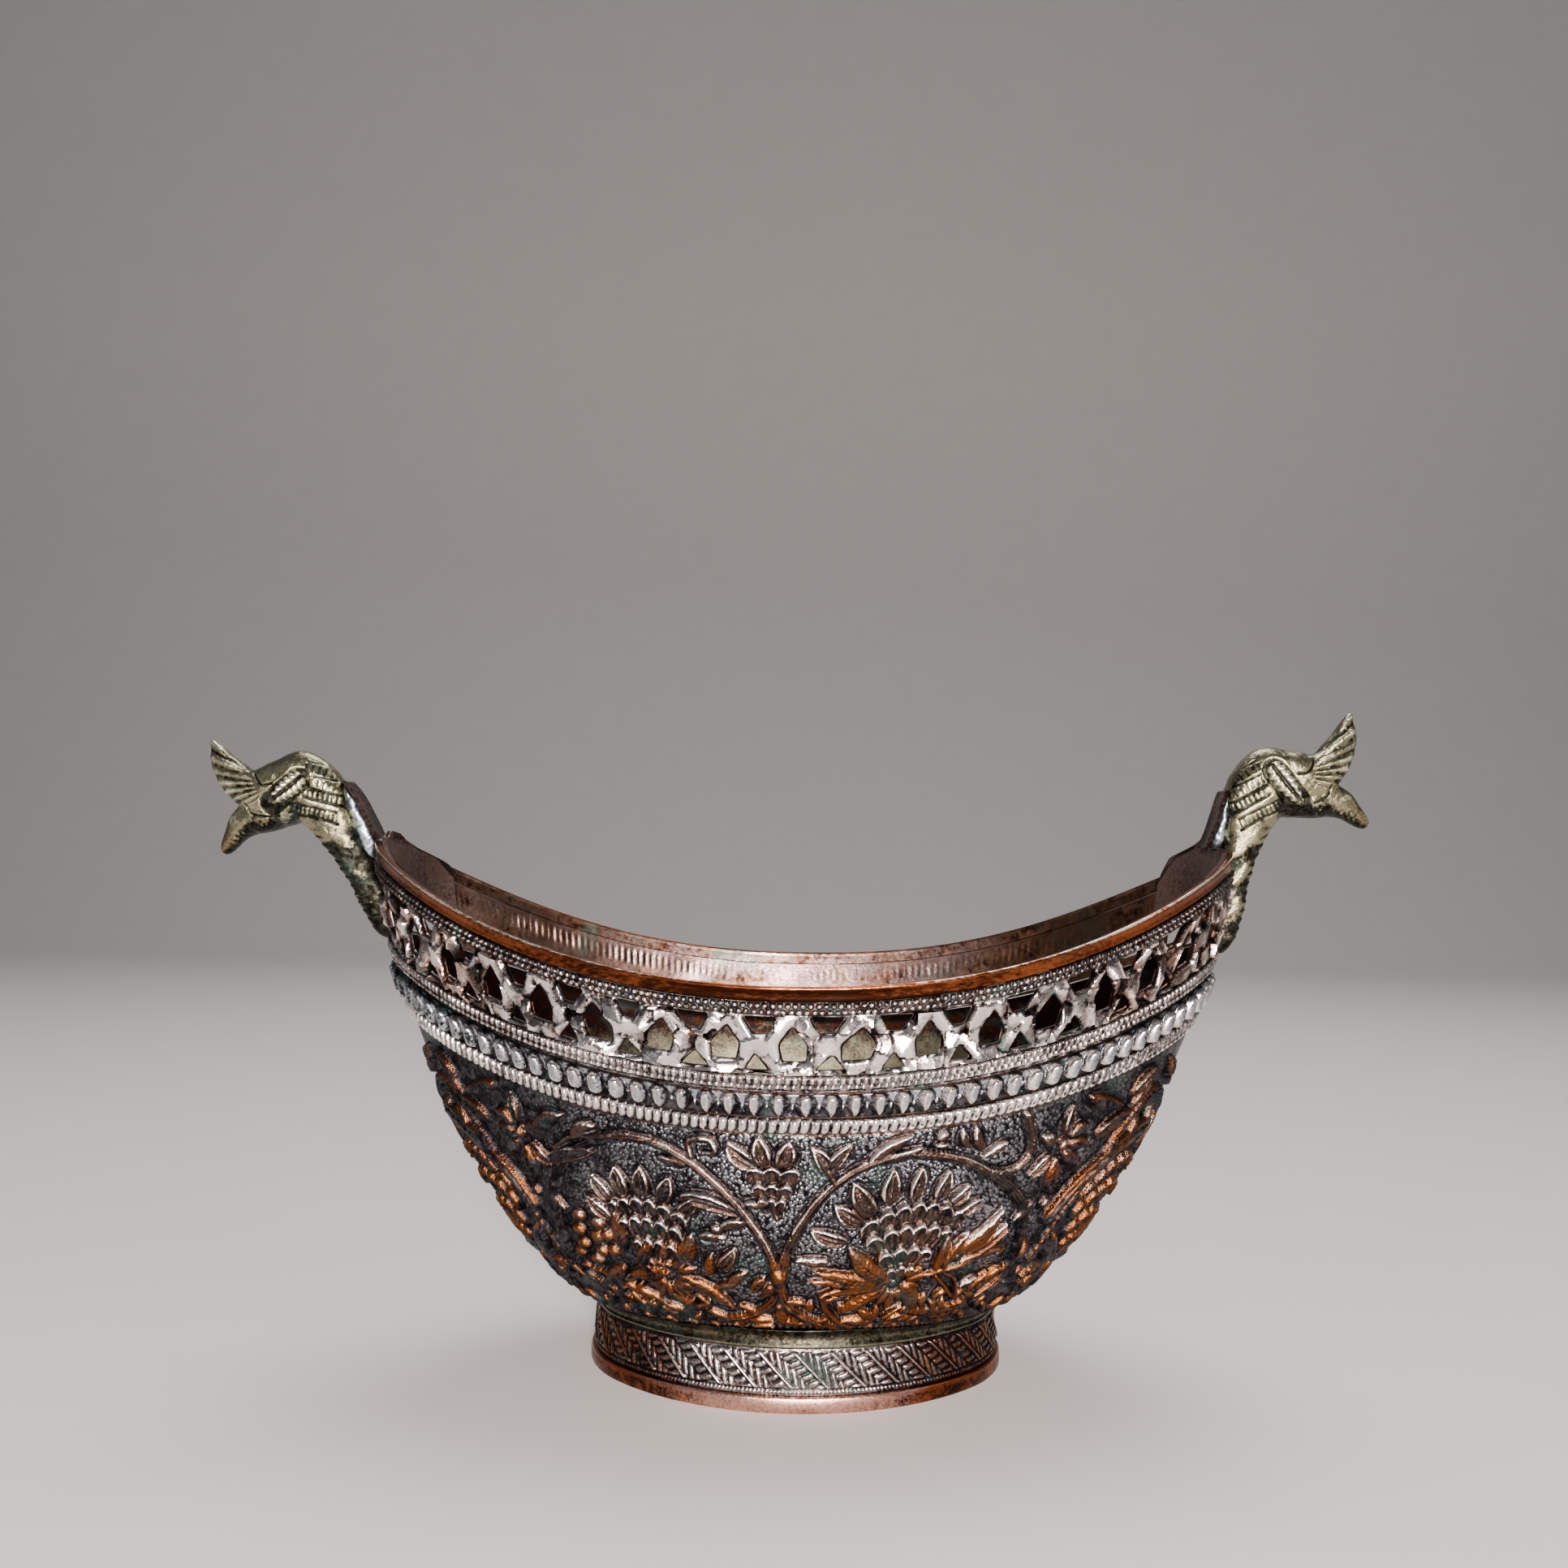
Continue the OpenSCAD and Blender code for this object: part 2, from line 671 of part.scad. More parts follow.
// Rear line of the head above the rim, where the solder bed lies
function rear_p(q) = grown(-2.4 - 0.09 * (q - 27), q)[0];
bed_rows = [29.7, 31.5, 33.3, 35];
function bed_ring(q, depth0, depth1, half, lean) =
    let (g = grown(0, q)[1], p1 = rear_p(q) - depth0, p0 = rear_p(q) - depth1)
    [
        place(p1, g, -half, lean), place(p1, g, half, lean),
        place(p0, g, half, lean), place(p0, g, -half, lean)
    ];
module solder_bed(lean) {
    half = tongue_half * 0.75;
    color("#8f9aa0")
        loft([for (q = bed_rows) bed_ring(q, neck_play, neck_play + bed_t, half, lean)]);
}

module solder_bed_right() {
    solder_bed(lean_right);
}

module solder_bed_left() {
    mirror([1, 0, 0]) solder_bed(lean_left);
}

// Stem plate: lapped inside the end of the wall, with a tongue behind the neck
plate_cols = 10;
plate_turn = turn(1) - turn(1 - plate_half / half_arc);
function plate_wall(s, w, up) = [
    for (i = [0 : plate_cols])
        skin(s, plate_turn * (2 * i / plate_cols - 1), w) + [0, 0, up]
];
function plate_tongue(q, depth, lean) = [
    for (i = [0 : plate_cols])
        let (v = 2 * i / plate_cols - 1)
        place(rear_p(q) - depth - 0.35 * pow(v, 2), grown(0, q)[1], v * tongue_half, lean)
];
function root_pt(v, w, rise, lean) =
    skin(1, plate_turn * v * tongue_half / plate_half * 1.35, w) + [0.08 * lean - 0.3 * rise, 0, rise + 1];
// A plate that stands up over the rim bends in behind the neck
function bend_in(v, rise) = 0.3 * rise * max(0, 1 - pow(v * plate_half / tongue_half / 1.6, 2));
module stem_plate(lean, rise) {
    near = wall_t + 1.5 * seam;
    far = near + plate_t;
    d_near = neck_play + bed_t + seam;
    d_far = d_near + plate_t;
    s_low = 1 - plate_drop / (rim_h + sheer - seat_end);
    s_list = [s_low, (1 + s_low) / 2, 0.9 + 0.1 * s_low];
    tip_q = [29.5, 32.5, 35.5];
    n = plate_cols + 1;
    shoulder = [
        for (i = [0 : plate_cols])
            let (v = 2 * i / plate_cols - 1, edge = skin(1, plate_turn * v * 0.96, -near))
            edge + [-bend_in(v, rise), 0, rise]
    ];
    shoulder_in = [
        for (i = [0 : plate_cols])
            let (v = 2 * i / plate_cols - 1, edge = skin(1, plate_turn * v * 0.96, -far))
            edge + [-bend_in(v, rise), 0, rise]
    ];
    root = [for (i = [0 : plate_cols]) root_pt(2 * i / plate_cols - 1, -near, rise, lean)];
    root_in = [for (i = [0 : plate_cols]) root_pt(2 * i / plate_cols - 1, -far, rise, lean)];
    outer = concat(
        [for (s = s_list) plate_wall(s, -near, 0)],
        [shoulder, root],
        [for (q = tip_q) plate_tongue(q, d_near, lean)]
    );
    inner = concat(
        [for (s = s_list) plate_wall(s, -far, 0)],
        [shoulder_in, root_in],
        [for (q = tip_q) plate_tongue(q, d_far, lean)]
    );
    m = len(outer);
    points = concat([for (r = outer, p = r) p], [for (r = inner, p = r) p]);
    function at(r, c, f) = f * m * n + r * n + c;
    faces = concat(
        [
            for (r = [0 : m - 2], c = [0 : n - 2])
                each concat(
                    quad(at(r, c, 0), at(r + 1, c, 0), at(r + 1, c + 1, 0), at(r, c + 1, 0)),
                    quad(at(r, c, 1), at(r, c + 1, 1), at(r + 1, c + 1, 1), at(r + 1, c, 1))
                )
        ],
        [
            for (c = [0 : n - 2])
                each concat(
                    quad(at(0, c, 0), at(0, c + 1, 0), at(0, c + 1, 1), at(0, c, 1)),
                    quad(at(m - 1, c, 0), at(m - 1, c, 1), at(m - 1, c + 1, 1), at(m - 1, c + 1, 0))
                )
        ],
        [
            for (r = [0 : m - 2])
                each concat(
                    quad(at(r, 0, 0), at(r, 0, 1), at(r + 1, 0, 1), at(r + 1, 0, 0)),
                    quad(at(r, n - 1, 0), at(r + 1, n - 1, 0), at(r + 1, n - 1, 1), at(r, n - 1, 1))
                )
        ]
    );
    color("#9a7a68") polyhedron(points, faces, 4);
}

module stem_plate_right() {
    stem_plate(lean_right, plate_rise_right);
}

module stem_plate_left() {
    mirror([1, 0, 0]) stem_plate(lean_left, plate_rise_left);
}

// Four-centred oval of the foot, measured at its top edge
oval_a = foot_len / 2;
oval_b = foot_w / 2;
oval_r = foot_end_r;
side_r = (pow(oval_a - oval_r, 2) + pow(oval_b, 2) - pow(oval_r, 2)) / (2 * (oval_b - oval_r));
side_y = side_r - oval_b;
meet = atan2(side_y, oval_a - oval_r);

// Point of the oval at one direction of its normal, moved out by d
function oval_pt(f, d) =
    abs(f) <= meet ? [oval_a - oval_r + (oval_r + d) * cos(f), (oval_r + d) * sin(f)] :
    abs(f) >= 180 - meet ? [oval_r - oval_a + (oval_r + d) * cos(f), (oval_r + d) * sin(f)] :
    [(side_r + d) * cos(f), (side_r + d) * sin(f) - sign(f) * side_y];

// Coved collar between the foot and the hull, higher at front and back
collar_cols = 44;
function collar_top(y) = seat_end + (seat_mid - seat_end) * min(1, pow(y / seat_b, 2)) - seam;
module foot_collar() {
    points = [
        for (i = [0 : collar_cols - 1])
            let (
                f = -180 + 360 * (i + 0.5) / collar_cols,
                low = foot_h + seam,
                high = collar_top(oval_pt(f, 0)[1])
            )
            each [
                for (r = [[0, 0], [-collar_cove, 0.5], [0, 1], [-1, 1], [-1, 0]])
                    let (d = oval_pt(f, r[0]))
                    [d[0], d[1], low + (high - low) * r[1]]
            ]
    ];
    faces = [
        for (i = [0 : collar_cols - 1], j = [0 : 4])
            let (a = i * 5, b = ((i + 1) % collar_cols) * 5, k = (j + 1) % 5)
            each quad(a + j, a + k, b + k, b + j)
    ];
    color("#a08a4e") polyhedron(points, faces, 4);
}

// Leaf band of the foot
ring_cols = 48;
function oval_turn(i, n) = -180 + 360 * (i + 0.5) / n;
module foot_ring() {
    section = [
        [band_flare, flange_h + seam], [0, foot_h],
        [-foot_t, foot_h], [band_flare - foot_t, flange_h + seam]
    ];
    points = [
        for (i = [0 : ring_cols - 1], r = section)
            let (d = oval_pt(oval_turn(i, ring_cols), r[0]))
            [d[0], d[1], r[1]]
    ];
    faces = [
        for (i = [0 : ring_cols - 1], j = [0 : 3])
            let (a = i * 4, b = ((i + 1) % ring_cols) * 4, k = (j + 1) % 4)
            each quad(a + j, a + k, b + k, b + j)
    ];
    color("#8a6a58") polyhedron(points, faces, 4);
}

// Plain flange the bowl stands on
flange_cols = 120;
module oval_plate(d) {
    polygon([for (i = [0 : flange_cols - 1]) oval_pt(oval_turn(i, flange_cols), d)]);
}
module foot_flange() {
    color("#9c6f58") linear_extrude(flange_h) difference() {
        oval_plate(flange_out);
        oval_plate(-foot_t);
    }
}

bowl_hull();
gallery_front();
gallery_back();
rim_band_front();
rim_band_back();
bead_border_front();
bead_border_back();
ribbed_wire_front();
ribbed_wire_back();
boss_strip_front();
boss_strip_back();
rope_wire_front();
rope_wire_back();
stem_plate_left();
stem_plate_right();
solder_bed_left();
solder_bed_right();
dragon_head_left();
dragon_head_right();
foot_collar();
foot_ring();
foot_flange();
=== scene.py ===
import math

import bmesh
import bpy
import numpy as np
from bpy.props import FloatProperty, FloatVectorProperty, PointerProperty
from mathutils import Matrix, Vector


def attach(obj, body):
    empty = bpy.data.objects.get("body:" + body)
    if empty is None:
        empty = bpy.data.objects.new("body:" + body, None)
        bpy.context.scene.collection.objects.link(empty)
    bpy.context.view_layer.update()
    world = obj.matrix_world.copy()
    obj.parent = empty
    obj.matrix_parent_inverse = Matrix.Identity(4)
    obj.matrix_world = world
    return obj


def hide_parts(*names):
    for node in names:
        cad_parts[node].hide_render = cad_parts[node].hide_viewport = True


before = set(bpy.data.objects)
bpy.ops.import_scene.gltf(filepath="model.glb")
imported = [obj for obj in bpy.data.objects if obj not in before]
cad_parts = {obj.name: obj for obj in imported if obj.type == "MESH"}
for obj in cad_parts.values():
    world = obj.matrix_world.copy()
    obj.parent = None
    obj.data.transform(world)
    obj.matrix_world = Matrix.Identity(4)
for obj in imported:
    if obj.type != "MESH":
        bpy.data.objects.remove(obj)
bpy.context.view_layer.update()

bl_info = {
    "name": "Kashkul Begging Bowl",
    "version": (1, 0, 0),
    "blender": (4, 5, 0),
    "location": "View3D > Sidebar > Kashkul",
    "description": "Chased, pierced and cast pieces of a boat-shaped begging bowl",
    "category": "Object",
}

MM = 0.001

# Raised wall of the bowl in millimetres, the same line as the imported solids: half axes and heights of its
# seat, half axes, height and sheer of its rim, then the sheet, the pan's drop and the seam between pieces
SEAT_A, SEAT_B, SEAT_END, SEAT_MID = 47.6, 35.6, 16.0, 19.1
RIM_A, RIM_B, RIM_H, SHEER, SHEER_POWER, PLAN_POWER = 100.0, 54.0, 97.0, 28.3, 2.26, 1.82
WALL_T, PAN_DROP, SEAM = 1.2, 4.5, 0.15
WALL_RISE = RIM_H - SEAT_MID
# Powers of the belly's curve, and of how the sheer grows toward the rim
BELLY_POWER, FILL_POWER, SHEER_GROWTH = 1.75, 0.68, 1.5

# Heights of the borders from the rim down, and their edges as shares of the wall's rise
RIM_TALL, BEAD_TALL, LATTICE_TALL, RIB_TALL = 3.1, 2.6, 12.2, 3.6
BOSS_TALL, ROPE_TALL, STRIP_APART, STRIP_BED = 4.75, 3.3, 0.35, 0.06
S_RIM = 1 - RIM_TALL / WALL_RISE
S_BEAD = S_RIM - BEAD_TALL / WALL_RISE
S_LATTICE = S_BEAD - LATTICE_TALL / WALL_RISE
S_RIB = S_LATTICE - RIB_TALL / WALL_RISE
S_BOSS1 = S_RIB - STRIP_APART / WALL_RISE
S_BOSS0 = S_BOSS1 - BOSS_TALL / WALL_RISE
S_ROPE1 = S_BOSS0 - STRIP_APART / WALL_RISE
S_ROPE0 = S_ROPE1 - ROPE_TALL / WALL_RISE
# Cells and bosses on one side, pitches along it, and what stays free at the ends and at the necks
CELL_N, BOSS_N, STRIP_GAP = 18, 50, 2.4
BEAD_PITCH, RIB_PITCH, BOSS_PITCH, ROPE_PITCH, GALLERY_PITCH = 1.5, 1.5, 4.76, 1.95, 13.45
NECK_W, NECK_CLEAR = 8.4, 1.2

# Height that the heads turn about, and how far each one leans out in degrees
PIVOT_Z = 103.0
LEAN = {"right": 0.0, "left": 16.0}

# Half axes and end radius of the foot's oval, then the heights, thickness and flare of its rings
OVAL_A, OVAL_B, OVAL_R = 49.2, 37.2, 29.0
FOOT_H, FLANGE_H, FOOT_T, BAND_FLARE = 14.6, 3.8, 1.6, 1.4
LEAF_N, TICK_N = 33, 300

# The two walls with the sign of Y on each, and the two ends
SIDES = ((-1, "front"), (1, "back"))
HANDS = ("left", "right")

# Steps of the chased wall: along one quarter, up its field, above the field and down the inside
HULL_COLS, FIELD_ROWS, TOP_ROWS, INNER_ROWS = 380, 185, 10, 24
# Leaves at least this wide that are less worn than this are hollowed, and no motif reaches further sideways
HOLLOW_HALF, HOLLOW_WORN, MOTIF_REACH = 1.6, 0.75, 42


def signed_power(x, e):
    """Power of the size of x, with its sign kept."""
    return np.sign(x) * np.abs(x) ** e


def wall(s, t):
    """Outer face of the wall: s up from the seat to the rim, t round it."""
    s = np.clip(s, 0, 1)
    grown = (1 - (1 - s) ** BELLY_POWER) ** FILL_POWER
    e = 2 / (2 + (PLAN_POWER - 2) * s)
    c, q = signed_power(np.cos(t), e), signed_power(np.sin(t), e)
    seat = SEAT_END + (SEAT_MID - SEAT_END) * np.sin(t) ** 2
    rise = SHEER * np.abs(c) ** SHEER_POWER * (1 - (1 - s) ** SHEER_GROWTH)
    return np.stack(
        [
            (SEAT_A + (RIM_A - SEAT_A) * grown) * c,
            (SEAT_B + (RIM_B - SEAT_B) * grown) * q,
            seat * (1 - s) + RIM_H * s + rise,
        ],
        -1,
    )


def unit(v):
    """Directions of length one."""
    return v / np.linalg.norm(v, axis=-1, keepdims=True)


def wall_out(s, t):
    """Direction that points straight out of the wall."""
    step = math.radians(0.5)
    round_it = wall(s, t + step) - wall(s, t - step)
    up_it = wall(np.minimum(s + 0.004, 1), t) - wall(np.maximum(s - 0.004, 0), t)
    return unit(np.cross(round_it, up_it))


RIM_TURNS = np.radians(np.arange(180, 360.5, 1.0))
RIM_RUN = np.concatenate(
    [[0], np.cumsum(np.linalg.norm(np.diff(wall(np.ones(181), RIM_TURNS), axis=0), axis=1))]
)
HALF_ARC = RIM_RUN[-1]
U_GAP = STRIP_GAP / HALF_ARC
U_KEEL = SEAM / HALF_ARC
U_NECK = (NECK_W / 2 + NECK_CLEAR) / HALF_ARC


def turn(u):
    """Direction of a spot that lies a share u along the front rim, left end to right end."""
    return np.interp(u * HALF_ARC, RIM_RUN, RIM_TURNS)


def on_wall(s, u, w, side):
    """Spot on the front (side -1) or back (side 1) wall, w millimetres out from it."""
    t = turn(u)
    spot = wall(s, t) + np.asarray(w)[..., None] * wall_out(s, t)
    spot[..., 1] *= -side
    return spot


LEVELS = np.linspace(0, 1, 401)
WALL_UP = np.concatenate(
    [[0], np.cumsum(np.linalg.norm(np.diff(wall(LEVELS, np.full(401, 1.5 * np.pi)), axis=0), axis=1))]
)
ROUND_TURNS = turn(np.linspace(0, 1, 361))
LEVEL_LENGTH = np.array(
    [np.linalg.norm(np.diff(wall(np.full(361, s), ROUND_TURNS), axis=0), axis=1).sum() for s in LEVELS]
)


def up_to_s(v):
    """Level of the wall at a length measured up its middle."""
    return np.interp(v, WALL_UP, LEVELS)


def s_to_up(s):
    """Length measured up the wall's middle to a level."""
    return np.interp(s, LEVELS, WALL_UP)


def level_length(s):
    """Length of one side of the wall at a level, end to end."""
    return np.interp(s, LEVELS, LEVEL_LENGTH)


def ease(x, low, high):
    """Soft step from 0 at low to 1 at high."""
    k = np.clip((x - low) / (high - low), 0, 1)
    return k * k * (3 - 2 * k)


def bell(x, width):
    """Smooth bump: 1 where x is 0, fading over the width."""
    return np.exp(-((x / width) ** 2))


def round_top(r2):
    """Height of a round boss: 1 at its middle, 0 from where r2 reaches 1."""
    return np.sqrt(np.clip(1 - r2, 0, 1))


def scatter(*keys):
    """Even, repeatable scatter between 0 and 1 from whole numbers."""
    n = np.zeros(np.broadcast(*keys).shape)
    for k, m in zip(keys, (12.9898, 78.233, 37.719)):
        n = n + np.asarray(k) * m
    return np.modf(np.abs(np.sin(n) * 43758.5453))[0]


def blur(a, k):
    """Box blur of a sheet of heights, k steps each way."""
    for axis in (0, 1):
        pad = [(0, 0), (0, 0)]
        pad[axis] = (k + 1, k)
        run = np.cumsum(np.pad(a, pad, mode="edge"), axis=axis)
        n = a.shape[axis]
        high = np.take(run, np.arange(2 * k + 1, 2 * k + 1 + n), axis=axis)
        low = np.take(run, np.arange(0, n), axis=axis)
        a = (high - low) / (2 * k + 1)
    return a


def wander(x, y, size):
    """Slow hand-made unevenness between -1 and 1, about size millimetres across."""
    a, b = x / size, y / size
    return (
        np.sin(2.1 * a + 1.7 * np.sin(1.3 * b)) + np.sin(1.9 * b + 1.5 * np.sin(1.1 * a + 2))
        + np.sin(1.4 * a - 1.8 * b + 0.7)
    ) / 3


def facets(x, y, size):
    """Flat filed facets about size millimetres across: their height and how far a spot lies from an edge."""
    i, j = np.floor(x / size), np.floor(y / size)
    near, second, high = np.full(x.shape, 1e9), np.full(x.shape, 1e9), np.zeros(x.shape)
    for di in (-1, 0, 1):
        for dj in (-1, 0, 1):
            ci, cj = i + di, j + dj
            ax, ay, sx, sy, up = (scatter(ci, cj, n) - 0.5 for n in range(5))
            dx, dy = x - (ci + 0.5 + 0.8 * ax) * size, y - (cj + 0.5 + 0.8 * ay) * size
            d = np.hypot(dx, dy)
            closer = d < near
            second = np.where(closer, near, np.minimum(second, d))
            high = np.where(closer, sx * dx + sy * dy + up, high)
            near = np.where(closer, d, near)
    return high, second - near


def wrap_grid(cols, rows, spots, notes=None):
    """Grid laid over the given spots, its meeting edges welded and its open ends filled."""
    bm = bmesh.new()
    bmesh.ops.create_grid(bm, x_segments=cols, y_segments=rows, size=1)
    for vert, spot in zip(bm.verts, (spots.reshape(-1, 3) * MM).tolist()):
        vert.co = spot
    for label, values in (notes or {}).items():
        layer = bm.verts.layers.float.new(label)
        for vert, value in zip(bm.verts, np.asarray(values).ravel().tolist()):
            vert[layer] = value
    bmesh.ops.remove_doubles(bm, verts=[v for v in bm.verts if v.is_boundary], dist=1e-7)
    open_edges = [e for e in bm.edges if e.is_boundary]
    for face in bm.faces:
        face.smooth = True
    if open_edges:
        for cap in bmesh.ops.holes_fill(bm, edges=open_edges, sides=0)["faces"]:
            for edge in cap.edges:
                edge.smooth = False
    bmesh.ops.recalc_face_normals(bm, faces=bm.faces)
    return bm


def wrap_loop(spots, notes):
    """Grid round a closed section: its first row of spots and notes comes again as the last."""
    again = {label: np.concatenate([rows, rows[:1]]) for label, rows in notes.items()}
    return wrap_grid(spots.shape[1] - 1, len(spots), np.concatenate([spots, spots[:1]]), again)


def join(bm, other):
    """Adds a finished bmesh to another one and frees it."""
    part = bpy.data.meshes.new("part")
    other.to_mesh(part)
    other.free()
    bm.from_mesh(part)
    bpy.data.meshes.remove(part)


def crease(bm, angle):
    """Keeps edges sharp where faces meet at more than the angle in degrees."""
    for edge in bm.edges:
        if edge.calc_face_angle(0) > math.radians(angle):
            edge.smooth = False


def set_down(bm, name, finish, slot, *nodes, lining=None):
    """Turns a finished bmesh into a piece of the bowl that stands for its solids."""
    mesh = bpy.data.meshes.new(name)
    if lining:
        inner = bm.verts.layers.float["inner"]
        for face in bm.faces:
            face.material_index = int(all(v[inner] > 0.5 for v in face.verts))
    bm.to_mesh(mesh)
    bm.free()
    mesh.materials.append(finish)
    if lining:
        mesh.materials.append(lining)
    piece = bpy.data.objects.new(name, mesh)
    bpy.context.scene.collection.objects.link(piece)
    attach(piece, "root")
    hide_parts(*nodes)
    return piece


# Chased field

def through(points, steps=6):
    """Smooth line through the given points."""
    p = np.array(points, float)
    if len(p) < 3:
        return p
    q = np.vstack([2 * p[0] - p[1], p, 2 * p[-1] - p[-2]])
    k = np.linspace(0, 1, steps, endpoint=False)[:, None]
    runs = []
    for a, b, c, d in zip(q[:-3], q[1:-2], q[2:-1], q[3:]):
        bend, twist = 2 * a - 5 * b + 4 * c - d, 3 * b - a - 3 * c + d
        runs.append(0.5 * (2 * b + (c - a) * k + bend * k**2 + twist * k**3))
    return np.vstack(runs + [p[-1:]])


def leaf(base, tip, half, bend=0.0, worn=1.0, rise=1.2):
    """Leaf from its base to its tip, half its width, bend, wear and height."""
    return ("leaf", base, tip, half, bend, worn, rise)


def stem(points, half=1.0, worn=0.6, rise=1.2):
    """Vine through the points, half its width, wear and height."""
    return ("stem", points, 0.82 * half, worn, rise)


def berry(x, y, across, tall, worn=1.0, rise=1.2):
    """Round boss with its half width and half height, wear and height."""
    return ("berry", x, y, across, tall, worn, rise)


def lotus(x, tiers, worn=0.35):
    """Stacked lotus: each tier is its top height, the drop of its arc and its half width."""
    return ("lotus", x, tiers, worn)


def sprigs(points, every=5.0, length=4.0, half=1.05, worn=0.6, lean=50):
    """Small leaves set left and right along a stem."""
    line = through(points)
    steps = np.diff(line, axis=0)
    run = np.concatenate([[0], np.cumsum(np.hypot(steps[:, 0], steps[:, 1]))])
    made = []
    for n, d in enumerate(np.arange(every / 2, run[-1], every)):
        k = int(np.searchsorted(run, d)) - 1
        x, y = float(np.interp(d, run, line[:, 0])), float(np.interp(d, run, line[:, 1]))
        side = 1 if n % 2 else -1
        a = math.atan2(steps[k, 1], steps[k, 0]) + side * math.radians(lean)
        tip = (x + math.cos(a) * length, y + math.sin(a) * length)
        made.append(leaf((x, y), tip, half, 0.3 * side, worn, 1.0))
    return made


def burst(x, y, inner, outer, first, last, count, half, worn=1.0):
    """Leaves spread like rays between two directions."""
    made = []
    for n in range(count):
        a = math.radians(first + (last - first) * n / (count - 1))
        c, s, reach = math.cos(a), math.sin(a), outer * (1.0 if n % 2 else 0.82)
        base, tip = (x + inner * c, y + inner * s), (x + reach * c, y + reach * s)
        made.append(leaf(base, tip, half, 0.0, worn, 0.9))
    return made


